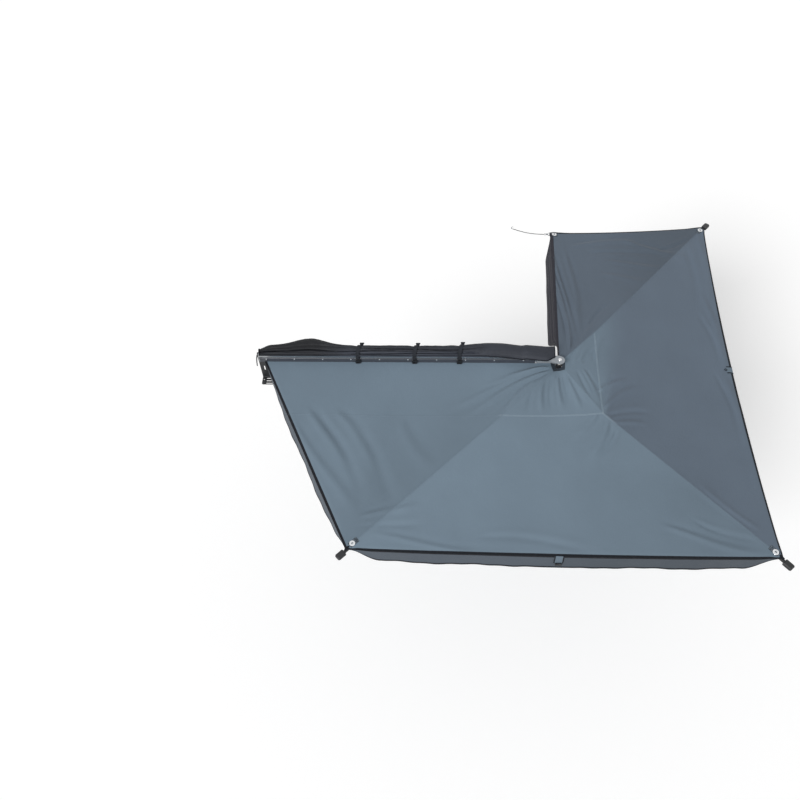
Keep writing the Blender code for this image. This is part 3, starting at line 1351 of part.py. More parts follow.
def make_bag(materials):
    """Loft along the rail, with a section at each edge of each strap."""
    start = -RAIL_LENGTH / 2 + STRIP_FRONT_MARGIN
    count = 26
    stations = [start + (BAG_REAR_X - start) * i / count for i in range(count + 1)]
    half = STRAP_WIDTH / 2
    for middle in STRAP_PLACES:
        stations = [x for x in stations if abs(x - middle) > STRAP_WIDTH]
        stations += [middle - half, middle + half]
    rings = []
    for x in sorted(stations):
        rings.append([Vector((x, y, z)) for y, z in bag_section(x)])
    place("travel_bag", bridge(rings, closed=False), materials["dark_cloth"], smooth=True)


def strap_outline(x, front):
    """Side outline of a strap in (y, z): up the rail's front and over the bag."""
    outer = bag_section(x, GAP + STRAP_THICKNESS)
    inner = bag_section(x, GAP)
    outline = [(front + STRAP_THICKNESS, STRAP_END_Z), (front, STRAP_END_Z)]
    outline += outer[:-1]
    outline += reversed(inner[:-1])
    return outline


def make_strap(index, x, materials):
    """Webbing over the bag and down the rail's front to its buckle."""
    half = STRAP_WIDTH / 2
    edges = (x - half, x + half)
    foremost = min(bag_section(edge, GAP + STRAP_THICKNESS)[0][0] for edge in edges)
    front = min(foremost, CLAMP_EDGE_Y - STRAP_THICKNESS)
    rings = [[Vector((edge, y, z)) for y, z in strap_outline(edge, front)] for edge in edges]
    place("bag_strap_%d" % index, bridge(rings, closed=False), materials["webbing"])
    make_buckle(index, x, front, materials)


def make_buckle(index, x, strap_y, materials):
    """Side-release buckle half on the strap's lower end, in front of the clamp strip."""
    outline = rounded_rectangle(BUCKLE_WIDTH, BUCKLE_HEIGHT, 0.005)
    front = strap_y - GAP - BUCKLE_THICKNESS
    middle = CLAMP_EDGE_Z + 2 * GAP + BUCKLE_HEIGHT / 2
    body = prism(shifted(outline, x, middle), front, strap_y - GAP, "xzy")
    window = rounded_rectangle(BUCKLE_WINDOW_WIDTH, BUCKLE_WINDOW_HEIGHT, 0.002)
    cutter = prism(shifted(window, x, middle - BUCKLE_HEIGHT * 0.12), front - 0.01,
                   strap_y - GAP - BUCKLE_THICKNESS * 0.4, "xzy")
    place("strap_buckle_%d" % index, combine(body, cutter, "DIFFERENCE"),
          materials["black_plastic"])


# Assembly

def make_arm(index, materials):
    arm = ARMS[index]
    pivot = make_empty("fold_" + arm.name, pivot_matrix(arm))
    axis = make_empty("arm_axis_" + arm.name, Matrix.Rotation(DROOP, 4, "Y"), pivot)
    make_knuckle(arm, pivot, materials)
    if arm is not ARM_C:
        make_spacer("thrust_washer_" + arm.name, HUB_HEIGHT / 2 + GAP, WASHER_THICKNESS,
                    WASHER_RADIUS, materials, pivot)
    make_tubes(arm, axis, materials)
    make_collar(arm, axis, materials)
    make_lever(arm, axis, materials)
    make_tip_cap(arm, axis, materials)
    make_corner_tab(index, materials)


def main():
    clear_scene()
    materials = make_materials()
    make_rail(materials)
    make_clamp_strip(materials)
    make_end_cap(materials)
    make_bracket("bracket_front", BRACKET_FRONT_X, -1, materials)
    make_bracket("bracket_rear", BRACKET_REAR_X, 1, materials)
    make_hinge_base(materials)
    make_pin_set(materials)
    for index in range(3):
        make_arm(index, materials)
    for sector in SECTORS:
        make_panel(sector, materials)
    at_pin = Matrix.Translation((PIN_X, PIN_Y, 0))
    falls = (RIDGE_FALL, RIDGE_FALL, RIDGE_FALL, TAB_LIFT)
    for name, frame, fall in zip("abcd", eyelet_frames(), falls):
        make_eyelet("eyelet_" + name, frame, fall, materials)
    make_corner_d(materials)
    make_far_edge(materials)
    make_edge_tab("edge_tab_near", SECTORS[1], materials)
    make_edge_tab("edge_tab_rear", SECTORS[2], materials)
    frame = hook_frame()
    eye_end = make_hook(frame, materials)
    make_gate(frame, materials)
    make_tether(frame, eye_end, materials)
    make_bag(materials)
    for index, x in enumerate(STRAP_PLACES, start=1):
        make_strap(index, x, materials)


main()
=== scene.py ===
"""Cloth, trim and finishes of a free-standing 270 degree vehicle side awning, set up.

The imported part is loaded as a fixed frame, in metres: +X towards the vehicle's rear, +Y towards
the vehicle, +Z up, and the origin in the middle of the wall rail's rear face. Everything soft is
made here over the plain solids of the part, and every solid that stays gets its finish.
"""

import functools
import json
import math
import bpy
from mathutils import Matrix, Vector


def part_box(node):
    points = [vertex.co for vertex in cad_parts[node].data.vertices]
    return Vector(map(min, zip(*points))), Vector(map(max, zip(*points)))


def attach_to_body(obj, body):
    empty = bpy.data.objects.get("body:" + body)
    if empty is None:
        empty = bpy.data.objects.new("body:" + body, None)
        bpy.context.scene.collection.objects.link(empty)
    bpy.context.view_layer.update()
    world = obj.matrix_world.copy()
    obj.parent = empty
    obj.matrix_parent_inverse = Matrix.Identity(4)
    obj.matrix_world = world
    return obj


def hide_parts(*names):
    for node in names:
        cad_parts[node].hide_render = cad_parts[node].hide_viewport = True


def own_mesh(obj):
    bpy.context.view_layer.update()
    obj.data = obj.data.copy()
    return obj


bl_info = {
    "name": "Vehicle side awning",
    "version": (1, 0, 0),
    "blender": (4, 5, 0),
    "location": "View3D > Sidebar > Awning",
    "description": "Builds the cloth, trim and finishes of a fan-shaped vehicle side awning",
    "category": "Object",
}

from collections import namedtuple

import bmesh
import bpy
import numpy as np
from bpy.props import FloatProperty, FloatVectorProperty, PointerProperty
from mathutils import Matrix, Vector, noise
from mathutils.bvhtree import BVHTree

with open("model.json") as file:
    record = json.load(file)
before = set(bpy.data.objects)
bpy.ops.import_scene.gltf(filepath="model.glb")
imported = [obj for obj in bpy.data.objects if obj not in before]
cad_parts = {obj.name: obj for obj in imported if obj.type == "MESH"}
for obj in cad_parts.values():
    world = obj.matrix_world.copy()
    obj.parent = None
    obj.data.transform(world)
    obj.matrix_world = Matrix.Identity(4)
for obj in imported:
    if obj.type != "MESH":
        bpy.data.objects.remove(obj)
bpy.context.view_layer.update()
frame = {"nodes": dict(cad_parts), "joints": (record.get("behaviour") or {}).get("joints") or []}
JOINTS = {joint["name"]: joint for joint in frame["joints"]}
PIN = np.array(JOINTS["fold_a"]["pos_m"])

# Camera, from the photograph's straight edges
CAMERA_PLACE = (0.302, -3.669, 4.409)
CAMERA_RIGHT = (0.99840293, 0.04026226, -0.03963007)
CAMERA_DOWN = (0.00857988, -0.80141551, -0.59804645)
CAMERA_FORWARD = (-0.05583885, 0.59675131, -0.80048104)
CAMERA_FOCAL_SHARE = 818.4 / 800
SENSOR_WIDTH = 36.0
FLOOR_Z = -2.05
FLOOR_HALF_SIZE = 40.0

# Arms, by heading in degrees, reach, height of the hub, height of the cloth at the hub, and how
# far the seam above it is drawn sideways
Arm = namedtuple("Arm", "heading reach level inner_z bend")
ARM_A = Arm(224.0, 1.934, -0.0770, -0.030, 0.0)
ARM_B = Arm(312.0, 1.846, -0.0410, -0.005, 0.0635)
ARM_C = Arm(410.0, 1.979, -0.0050, 0.014, 0.0150)
ARM_DROOP = math.radians(3.5)
CLOTH_ABOVE_ARM = 0.021
CLOTH_INNER_RADIUS = 0.045
MITRE_RADIUS = 0.430
RAIL_HALF_LENGTH = 1.020
CLAMP_EDGE = (-0.0316, -0.028)
CLAMP_EDGE_ENDS = (1.035, -0.978)
CORNER_D_HEADING, CORNER_D_REACH = 448.0, 1.405
CORNER_D_HEIGHTS = (0.018, -0.060)
ROOF_SAG = 0.015
VALANCE_HEIGHT = 0.145
VALANCE_END_HEIGHT = 0.005
VALANCE_MARGIN = 0.022
VALANCE_TAPER = 0.180
VALANCE_WAVE = 0.007
EYELET_CLEAR = 0.0088
EYELET_REACH = 0.040
EDGE_ROLL_DEPTH = 0.0060
EDGE_ROLL_WIDTH = 0.036
EDGE_GAP = 0.012

# Rows of the cloth's grid near its outer edge, by distance from the edge, and down the valance
EDGE_STEPS = (0.061, 0.049, 0.041, 0.033, 0.026, 0.019, 0.0145, 0.0105, 0.007, 0.0035, 0.001, 0.0)
SKIRT_STEPS = (0.008, 0.03, 0.06, 0.095, 0.16, 0.25, 0.35, 0.45, 0.55, 0.65, 0.75, 0.84, 0.895,
               0.93, 0.965, 1.0)
HUB_STEPS = (0.0, 0.005)
HUB_TAPE_WIDTH = 0.010
HUB_TAPE_REACH = 0.38
ROOF_ROWS = 104
TAPE_INNER_ROWS = 5
TAPE_OUTER_ROWS = 4
HEM_ROWS = 4

# What carries each part of the cloth, and where it gathers when the fan closes: joint, heading of
# the gathered cloth in degrees and its distance beside the pin. It hangs on the rail's side of
# arm A and on the outer side of the other arms, so that it meets no arm. Last, the solid that
# holds it and the plain panels that it stands for
Gather = namedtuple("Gather", "joint heading beside held_by stands_for")
GATHERS = {
    "case": Gather("fold_a", 180.0, 0.0, "canopy_clamp_strip", ["canopy_front_panel"]),
    "arm_a": Gather("fold_a", 224.0, -0.026, "outer_tube_a", ["canopy_near_panel"]),
    "arm_b": Gather("fold_b", 314.0, 0.048, "outer_tube_b", ["canopy_rear_panel"]),
    "arm_c": Gather("fold_c", 410.0, 0.056, "outer_tube_c", ["canopy_far_panel"]),
    "far_edge": Gather("fold_edge", 448.0, 0.064, "eyelet_d", []),
}

# Height of seams, tapes and webbing over the cloth, and how thick they are drawn
SEAM_LIFT, SEAM_THICKNESS = 0.0008, 0.0006
WEBBING_LIFT, WEBBING_THICKNESS = 0.0003, 0.0012
STITCH_RADIUS = 0.0006

# Folds seen in the cloth: start and end in plan, width and height
Fold = namedtuple("Fold", "x0 y0 x1 y1 width height")
FOLDS = [Fold(*row) for row in (
    (1.07, -0.09, 0.34, -0.34, 0.020, 0.0104), (1.05, -0.10, 0.47, -0.30, 0.014, -0.0065),
    (1.08, -0.075, 0.72, -0.11, 0.012, 0.0052), (1.02, -0.12, 0.43, -0.42, 0.018, 0.0091),
    (1.04, -0.08, 0.58, -0.18, 0.016, 0.0072), (1.00, -0.13, 0.62, -0.42, 0.016, -0.0065),
    (0.90, -0.17, 0.73, -0.38, 0.016, 0.0091), (0.96, -0.15, 0.84, -0.41, 0.013, -0.0072),
    (0.99, -0.14, 0.93, -0.41, 0.015, 0.0091), (1.04, -0.15, 0.99, -0.40, 0.013, -0.0065),
    (1.08, -0.16, 1.06, -0.39, 0.015, 0.0091), (1.12, -0.12, 1.11, -0.36, 0.012, -0.0059),
    (1.15, -0.17, 1.18, -0.41, 0.015, 0.0078), (1.22, -0.12, 1.25, -0.38, 0.014, -0.0065),
    (1.26, -0.10, 1.31, -0.36, 0.014, 0.0072), (1.33, -0.26, 1.54, -0.15, 0.017, 0.0084),
    (1.36, -0.40, 1.62, -0.19, 0.019, 0.0097), (1.38, -0.47, 1.66, -0.40, 0.019, -0.0078),
    (1.40, -0.54, 1.63, -0.50, 0.018, 0.0072), (1.36, -0.32, 1.46, -0.12, 0.013, -0.0065),
    (1.34, 0.00, 1.41, 0.22, 0.015, 0.0059), (1.37, -0.52, 1.24, -0.76, 0.018, 0.0084),
    (1.41, -0.58, 1.31, -0.74, 0.014, -0.0065), (1.31, -0.46, 1.15, -0.60, 0.017, 0.0059),
    (1.12, -0.02, 1.24, 0.22, 0.016, -0.0091), (1.14, 0.05, 1.20, 0.40, 0.013, 0.0078),
    (1.16, -0.02, 1.36, 0.30, 0.016, 0.0078), (1.33, 0.33, 1.50, 0.55, 0.015, -0.0059),
    (1.30, 1.20, 1.86, 1.25, 0.022, 0.0084), (1.70, 1.25, 2.16, 1.10, 0.022, 0.0091),
    (1.42, 1.10, 1.95, 1.13, 0.018, -0.0072), (1.55, 1.00, 1.95, 0.96, 0.022, 0.0078),
    (1.48, 0.86, 1.80, 0.79, 0.024, 0.0065), (1.96, 1.18, 2.25, 1.28, 0.018, -0.0065),
    (1.17, 1.22, 1.125, 0.06, 0.016, 0.0084), (1.20, 1.00, 1.155, 0.06, 0.015, -0.0072),
    (1.25, 1.10, 1.19, 0.25, 0.020, 0.0072), (1.19, 0.08, 1.27, 0.56, 0.018, 0.0065),
    (-0.60, -0.42, -0.36, -0.88, 0.030, 0.0091), (-0.43, -0.44, -0.15, -0.86, 0.034, 0.0084),
    (-0.31, -0.58, 0.02, -1.12, 0.036, -0.0072), (-0.68, -0.50, -0.30, -1.20, 0.026, 0.0065),
    (-0.52, -0.46, -0.24, -1.10, 0.028, -0.0065), (0.00, -0.50, 0.22, -0.86, 0.040, 0.0059),
    (-0.20, -1.20, 0.12, -1.08, 0.018, 0.0078), (-0.22, -1.28, 0.16, -1.20, 0.016, -0.0059),
    (-0.10, -1.34, 0.90, -1.37, 0.018, 0.0065), (0.55, -1.33, 1.22, -1.37, 0.020, -0.0052),
    (1.66, -1.26, 2.22, -1.38, 0.020, 0.0072), (1.85, -1.20, 2.20, -1.33, 0.016, -0.0052),
    (2.22, 0.68, 2.23, 0.02, 0.022, 0.0078), (2.17, 0.50, 2.21, 0.05, 0.018, -0.0065),
    (2.24, -0.08, 2.27, -0.96, 0.022, 0.0078), (2.19, -0.06, 2.22, -0.60, 0.018, -0.0065),
    (2.27, 1.32, 2.25, 0.60, 0.022, 0.0065), (2.18, 1.20, 2.12, 0.55, 0.028, -0.0059),
    (2.18, -1.24, 1.90, -0.92, 0.024, 0.0059), (1.120, 1.12, 1.098, 0.10, 0.010, -0.0085),
    (1.143, 1.20, 1.112, 0.16, 0.010, 0.0080), (1.165, 0.95, 1.132, 0.30, 0.012, -0.0060),
    (1.24, -0.02, 1.33, 0.10, 0.015, -0.0080),
)]

# Travel bag, by the solid that stands for it
BAG_START_X = -1.014
BAG_REAR_X = 1.050
BAG_FLAP_START_X = 0.620
BAG_STATIONS = 190
BAG_RING = 40
STRAP_PLACES = (-0.314, 0.082, 0.394)
STRAP_WIDTH = 0.026
STRAP_THICKNESS = 0.0014
STRAP_END_Z = -0.010
STRAP_LEAN = 0.016 / 0.08
PIPING_START_X = 0.600
PIPING_RADIUS, RIM_RADIUS, HEM_RADIUS = 0.0034, 0.0038, 0.0022
HEM_SHARE = 0.085
ZIP_START, ZIP_LENGTH, ZIP_STEPS = 0.020, 1.96, 259
ZIP_SHARES = (0.900, 0.955)

# Far edge
EDGE_STRAP_WIDTH = 0.012
EDGE_STRAP_START = 0.052
FLAP_START = 0.085
FLAP_HEIGHT = 0.130
FLAP_SLANT = 0.050
FLAP_MARGIN = 0.050
FLAP_TAPER = 0.160
FLAP_ROWS = 26

# Tether
HOOK_HEADING = 183.0
HOOK_CORD_X = 0.0833
HOOK_CORD_Z = 0.0058
CORD_END = (0.816, 1.258, 0.050)
CORD_RADIUS = 0.0025
CORD_SAG = 0.014
CORD_STEPS = 60

# Corner patches and mid-edge tabs
PATCH_SPAN, PATCH_HALF_WIDTH, PATCH_BORE = (0.034, 0.098), 0.0175, 0.0094
LAST_PATCH_SPAN = (0.0015, 0.0460)
STITCHED_SQUARE = ((24, 3), (24, 18), (35, 18), (35, 3))
TAB_DROP, TAB_HALF_WIDTH, TAB_THICKNESS = 0.088, 0.030, 0.0014


# Small helpers

def linear_rgb(code):
    """sRGB hex code as a linear colour."""
    channels = [int(code[i:i + 2], 16) / 255 for i in (0, 2, 4)]
    return tuple(value / 12.92 if value <= 0.04045 else ((value + 0.055) / 1.055) ** 2.4
                 for value in channels)


def smooth(value):
    value = np.clip(value, 0.0, 1.0)
    return value * value * (3 - 2 * value)


def unit(vectors):
    return vectors / np.maximum(np.linalg.norm(vectors, axis=-1, keepdims=True), 1e-12)


def add_node(tree, kind, inputs=None, **settings):
    """Add a node; an input takes a number, a vector, a socket or a node for its first output."""
    node = tree.nodes.new(kind)
    for name, value in settings.items():
        setattr(node, name, value)
    for key, value in (inputs or {}).items():
        source = value.outputs[0] if isinstance(value, bpy.types.Node) else value
        if isinstance(source, bpy.types.NodeSocket):
            tree.links.new(source, node.inputs[key])
        else:
            node.inputs[key].default_value = source
    return node


def link_object(name, data):
    item = bpy.data.objects.new(name, data)
    bpy.context.scene.collection.objects.link(item)
    return item


def grid_quads(rows, columns):
    """Corner numbers of a grid's faces, so that they face the way of row cross column."""
    index = np.arange(rows * columns).reshape(rows, columns)
    corners = (index[:-1, :-1], index[1:, :-1], index[1:, 1:], index[:-1, 1:])
    return np.stack(corners, axis=-1).reshape(-1, 4)


def grid_normals(points):
    """Unit normals of a grid of points, row cross column."""
    return unit(np.cross(np.gradient(points, axis=0), np.gradient(points, axis=1)))


def facing_up(points, row, column):
    """A grid of points, turned over if its normal at the given place points down."""
    return points[:, ::-1] if grid_normals(points)[row, column, 2] < 0 else points


def run_lengths(points, axis):
    """Length along one way of an array of points, from 0 at its start."""
    steps = np.linalg.norm(np.diff(points, axis=axis), axis=-1)
    return np.insert(np.cumsum(steps, axis=axis), 0, 0.0, axis=axis)


def closed_sheet(name, points, thickness, material, lift=0.0, normals=None, uv=None, keep=None,
                 dye=None):
    """Closed thin sheet over a grid of points, smooth over its faces and with a straight rim.

    uv holds one pair for each corner of each face, and is in metres across and along the grid if
    left out. keep says which faces stay, and the last argument holds a colour for each point or
    face corner, with any painted light and shade in it.
    """
    quads = grid_quads(*points.shape[:2])
    keep = np.ones(len(quads), bool) if keep is None else keep
    uv = (length_uv(points) if uv is None else uv)[keep]
    if dye is not None:
        dye = (dye.reshape(-1, 3)[quads] if dye.shape == points.shape else dye)[keep]
    quads = quads[keep]
    normals = grid_normals(points) if normals is None else normals
    points = (points + normals * lift).reshape(-1, 3)
    normals = normals.reshape(-1, 3)
    count = len(points)
    vertices = np.concatenate([points, points - normals * thickness])
    sides = [[i, (i + 1) % 4] for i in range(4)]
    edges = np.concatenate([quads[:, side] for side in sides])
    rim = ~np.isin(edges[:, 0] * count + edges[:, 1], edges[:, 1] * count + edges[:, 0])

    def at_rim(values):
        return np.concatenate([values[:, side] for side in sides])[rim][:, [1, 0, 0, 1]]

    def all_round(values):
        return np.concatenate([values, values[:, ::-1], at_rim(values)])

    walls = at_rim(quads) + np.array((0, 0, count, count))
    faces = np.concatenate([quads, quads[:, ::-1] + count, walls])
    mesh = bpy.data.meshes.new(name)
    mesh.from_pydata(vertices.tolist(), [], faces.tolist())
    mesh.uv_layers.new(name="cloth").data.foreach_set("uv", all_round(uv).ravel())
    if dye is not None:
        layer = mesh.attributes.new("dye", "FLOAT_VECTOR", "CORNER")
        layer.data.foreach_set("vector", all_round(dye).ravel())
    mesh.materials.append(material)
    first, second, third = (vertices[walls[:, i]] for i in range(3))
    flat = unit(np.cross(second - first, third - second))
    loops = np.concatenate([normals[quads].reshape(-1, 3), -normals[quads[:, ::-1]].reshape(-1, 3),
                            np.repeat(flat, 4, axis=0)])
    mesh.shade_smooth()
    mesh.normals_split_custom_set(loops.tolist())
    mesh.update()
    return link_object(name, mesh)


def length_uv(points):
    """Corner UVs of a grid in metres: across the columns, then along the rows."""
    across = run_lengths(points, 1)
    across -= across[:, [points.shape[1] // 2]]
    pairs = np.stack([across, run_lengths(points, 0)], axis=-1).reshape(-1, 2)
    return pairs[grid_quads(*points.shape[:2])]


def joined(name, pieces):
    """Join meshes into one object; a single one is only renamed."""
    if len(pieces) > 1:
        with bpy.context.temp_override(active_object=pieces[0], selected_editable_objects=pieces):
            bpy.ops.object.join()
    pieces[0].name = name
    pieces[0].data.name = name
    return pieces[0]


def solid_from(name, body, material, sharp):
    """Object from a bmesh, smooth but for the edges over an angle in degrees."""
    bmesh.ops.recalc_face_normals(body, faces=body.faces)
    mesh = bpy.data.meshes.new(name)
    body.to_mesh(mesh)
    body.free()
    mesh.materials.append(material)
    mesh.shade_smooth()
    mesh.set_sharp_from_angle(angle=math.radians(sharp))
    return link_object(name, mesh)


def turned(name, profile, sides, material, matrix):
    """Solid of revolution about the matrix's Z; its (radius, z) outline starts and ends there."""
    body = bmesh.new()
    turns = [2 * math.pi * i / sides for i in range(sides)]
    rings = [[body.verts.new((radius * math.cos(turn), radius * math.sin(turn), z))
              for turn in (turns if radius else turns[:1])] for radius, z in profile]
    for first, second in zip(rings, rings[1:]):
        for i in range(sides):
            j = (i + 1) % sides
            corners = (first[i % len(first)], first[j % len(first)],
                       second[j % len(second)], second[i % len(second)])
            body.faces.new(list(dict.fromkeys(corners)))
    bmesh.ops.transform(body, verts=body.verts, matrix=matrix)
    return solid_from(name, body, material, 40)


def skin(name, rings, around, along, material, sharp, closed=False, tips=(), dye=None):
    """Solid through rings of points, with UVs from the lengths round and along it in metres.

    A closed one runs back into its first ring. Otherwise its ends are flat, or run out in the
    two tips. The last argument holds one colour for each point, with any painted light and shade in
    it.
    """
    body = bmesh.new()
    body.loops.layers.uv.new("cloth")
    tint = body.loops.layers.float_vector.new("dye") if dye else None
    layer = body.loops.layers.uv["cloth"]
    rows = [[body.verts.new(point) for point in ring] for ring in rings]
    count = len(rows[0])
    for i in range(len(rows) if closed else len(rows) - 1):
        k = (i + 1) % len(rows)
        for j in range(count):
            m = (j + 1) % count
            face = body.faces.new((rows[i][j], rows[i][m], rows[k][m], rows[k][j]))
            places = ((around[i][j], along[i]), (around[i][j + 1], along[i]),
                      (around[k][j + 1], along[i + 1]), (around[k][j], along[i + 1]))
            for loop, place in zip(face.loops, places):
                loop[layer].uv = place
            if dye:
                for loop, (row, column) in zip(face.loops, ((i, j), (i, m), (k, m), (k, j))):
                    loop[tint] = dye[row][column]
    for number, point in zip((0, -1), tips):
        tip = body.verts.new(point)
        for j in range(count):
            face = body.faces.new((rows[number][j], rows[number][(j + 1) % count], tip))
            for loop in face.loops:
                loop[layer].uv = loop.vert.co.yz
                loop[tint] = dye[number][0]
    if not closed and not len(tips):
        body.faces.new(reversed(rows[0]))
        body.faces.new(rows[-1])
    return solid_from(name, body, material, sharp)


def tube(name, points, radius, material, sides=16, closed=False):
    """Round bar along points."""
    points = [Vector(point) for point in points]
    last = len(points) - 1
    turns = [2 * math.pi * j / sides for j in range(sides + 1)]
    rings = []
    side = None
    for i, point in enumerate(points):
        before, after = max(i - 1, 0), min(i + 1, last)
        if closed:
            before, after = i - 1, (i + 1) % len(points)
        tangent = (points[after] - points[before]).normalized()
        side = tangent.orthogonal() if side is None else side
        side = (side - tangent * side.dot(tangent)).normalized()
        up = tangent.cross(side)
        rings.append([point + radius * (math.cos(turn) * side + math.sin(turn) * up)
                      for turn in turns[:-1]])
    along = run_lengths(np.array(points + points[:1] if closed else points), 0)
    around = [[turn * radius for turn in turns]] * len(points)
    return skin(name, rings, around, along, material, 50, closed)


def radial(heading, reach=1.0, z=0.0):
    """Point at a heading in degrees and a distance from the origin."""
    turn = math.radians(heading)
    return np.array((reach * math.cos(turn), reach * math.sin(turn), z))


def beside(heading):
    """Horizontal unit vector to the left of a heading in degrees."""
    return radial(heading + 90.0)


def attach(piece, body, slot, *solids):
    """Let a piece ride on a body, in place of the named solids."""
    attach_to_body(piece, body)
    if solids:
        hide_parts(*solids)


def carry(piece, body):
    """Let a piece ride on a body, with a mesh of its own."""
    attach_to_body(piece, body)
    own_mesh(piece)


# Shape of the roof, in coordinates whose origin lies on the pin

def arm_line(arm, share):
    """Ridge of the cloth above an arm, drawn sideways near the hinge."""
    share = np.asarray(share, float)[..., None]
    start = radial(arm.heading, CLOTH_INNER_RADIUS, arm.inner_z)
    height = arm.level - arm.reach * math.sin(ARM_DROOP) + CLOTH_ABOVE_ARM
    tip = radial(arm.heading, arm.reach * math.cos(ARM_DROOP), height)
    knee = MITRE_RADIUS / arm.reach
    bend = np.minimum(share / knee, (1 - share) / (1 - knee)) * arm.bend
    return start + (tip - start) * share - beside(arm.heading) * bend


def straight_line(start, end):
    return lambda share: start + (end - start) * np.asarray(share, float)[..., None]


clamp_line = straight_line(*(np.array((x, *CLAMP_EDGE)) - PIN for x in CLAMP_EDGE_ENDS))
free_line = straight_line(radial(CORNER_D_HEADING, CLOTH_INNER_RADIUS, CORNER_D_HEIGHTS[0]),
                          radial(CORNER_D_HEADING, CORNER_D_REACH, CORNER_D_HEIGHTS[1]))
ridge_a, ridge_b, ridge_c = (functools.partial(arm_line, arm) for arm in (ARM_A, ARM_B, ARM_C))

# Each sector of the roof: the lines that it hangs between, how far its edge bows inwards and its
# middle droops, how its valance waves, flares and hangs straight, grid columns, how much of its
# folds reach its sides, and the bodies of its two halves
Sector = namedtuple("Sector",
                    "name first second bow droop waves flare clear_at columns hold bodies")
SECTORS = (
    Sector("front", clamp_line, ridge_a, 0.000, 0.010, 3, 0.018, None, 130, 0.30,
           ("case", "arm_a")),
    Sector("near", ridge_a, ridge_b, 0.000, 0.030, 5, 0.008, 0.5, 220, 0.20, ("arm_a", "arm_b")),
    Sector("rear", ridge_b, ridge_c, 0.030, 0.020, 5, 0.0, 0.5, 230, 0.08, ("arm_b", "arm_c")),
    Sector("far", ridge_c, free_line, 0.008, 0.010, 2, 0.0, None, 120, 0.08,
           ("arm_c", "far_edge")),
)


def outward(sector):
    """Horizontal unit vector square to a sector's outer edge, away from the pin."""
    start, end = sector.first(1.0), sector.second(1.0)
    along = end - start
    normal = unit(np.array((along[1], -along[0], 0.0)))
    return normal if normal @ (start + end) > 0 else -normal


def roof_point(sector, across, share):
    """Plain surface of a sector, before its folds."""
    start = sector.first(share)
    end = sector.second(share)
    a, t = across[..., None], share[..., None]
    crown = 4 * a * (1 - a) * t
    point = start + (end - start) * a - outward(sector) * sector.bow * crown
    sag = ROOF_SAG * np.sin(np.pi * across) * np.sin(np.pi * share)
    point[..., 2] -= sector.droop * crown[..., 0] + sag
    return point


def fold_height(x, y):
    """Height of the cloth's folds at points of the plan."""
    total = np.zeros(x.shape)
    for fold in FOLDS:
        run = np.array((fold.x1 - fold.x0, fold.y1 - fold.y0))
        length = np.linalg.norm(run)
        run /= length
        along = ((x - fold.x0) * run[0] + (y - fold.y0) * run[1]) / length
        off = (x - fold.x0) * -run[1] + (y - fold.y0) * run[0]
        off = off + 0.06 * length * np.sin(3.1 * along + fold.x0 * 7)
        ends = smooth((along + 0.12) / 0.25) * smooth((1.12 - along) / 0.45)
        spread = fold.width * (0.8 + 0.5 * np.clip(along, 0, 1))
        crest = np.exp(-(off / spread) ** 2)
        trough = np.exp(-((off - 1.7 * spread) / (1.2 * spread)) ** 2)
        total += fold.height * ends * (crest - 0.45 * trough)
    return total


def ripple_height(x, y):
    """Slow swells and small ripples that woven cloth keeps under light tension."""
    flat = np.stack([x.ravel(), y.ravel()], axis=1)
    values = []
    for px, py in flat.tolist():
        swell = noise.noise(Vector((px * 2.6, py * 2.6, 0.7)))
        small = noise.noise(Vector((px * 11.0 + 4.0, py * 7.0, 3.1)))
        values.append(0.0032 * swell + 0.0011 * small)
    return np.array(values).reshape(x.shape)


def skirt_height(across, edge_length):
    from_end = np.minimum(across, 1 - across) * edge_length - VALANCE_MARGIN
    full = VALANCE_HEIGHT - VALANCE_END_HEIGHT
    return VALANCE_END_HEIGHT + full * smooth(from_end / VALANCE_TAPER)


def skirt_wave(sector, across):
    """Sideways swing of the valance, still at its ends and behind a tab."""
    calm = smooth(np.minimum(across, 1 - across) / 0.12)
    if sector.clear_at is not None:
        calm = calm * smooth((np.abs(across - sector.clear_at) - 0.03) / 0.06)
    main = (1 - np.cos(2 * np.pi * sector.waves * across)) / 2
    fine = 0.22 * np.sin(2 * np.pi * (sector.waves * 3.3 * across + 0.2))
    return VALANCE_WAVE * calm * (main + fine)


def fold_hold(sector, to_first, to_second, from_hub, from_edge):
    """Share of the folds' height that is left near ridges, the rail, the hub and the edge."""
    from_second = to_second / (0.015 if sector.second is free_line else 0.06)
    hold = sector.hold + (1 - sector.hold) * smooth(np.minimum(to_first / 0.06, from_second))
    if sector.name == "front":
        hold = hold * smooth(to_first / 0.05)
    return hold * smooth((from_hub - 0.01) / 0.06) * (0.3 + 0.7 * smooth(from_edge / 0.07))


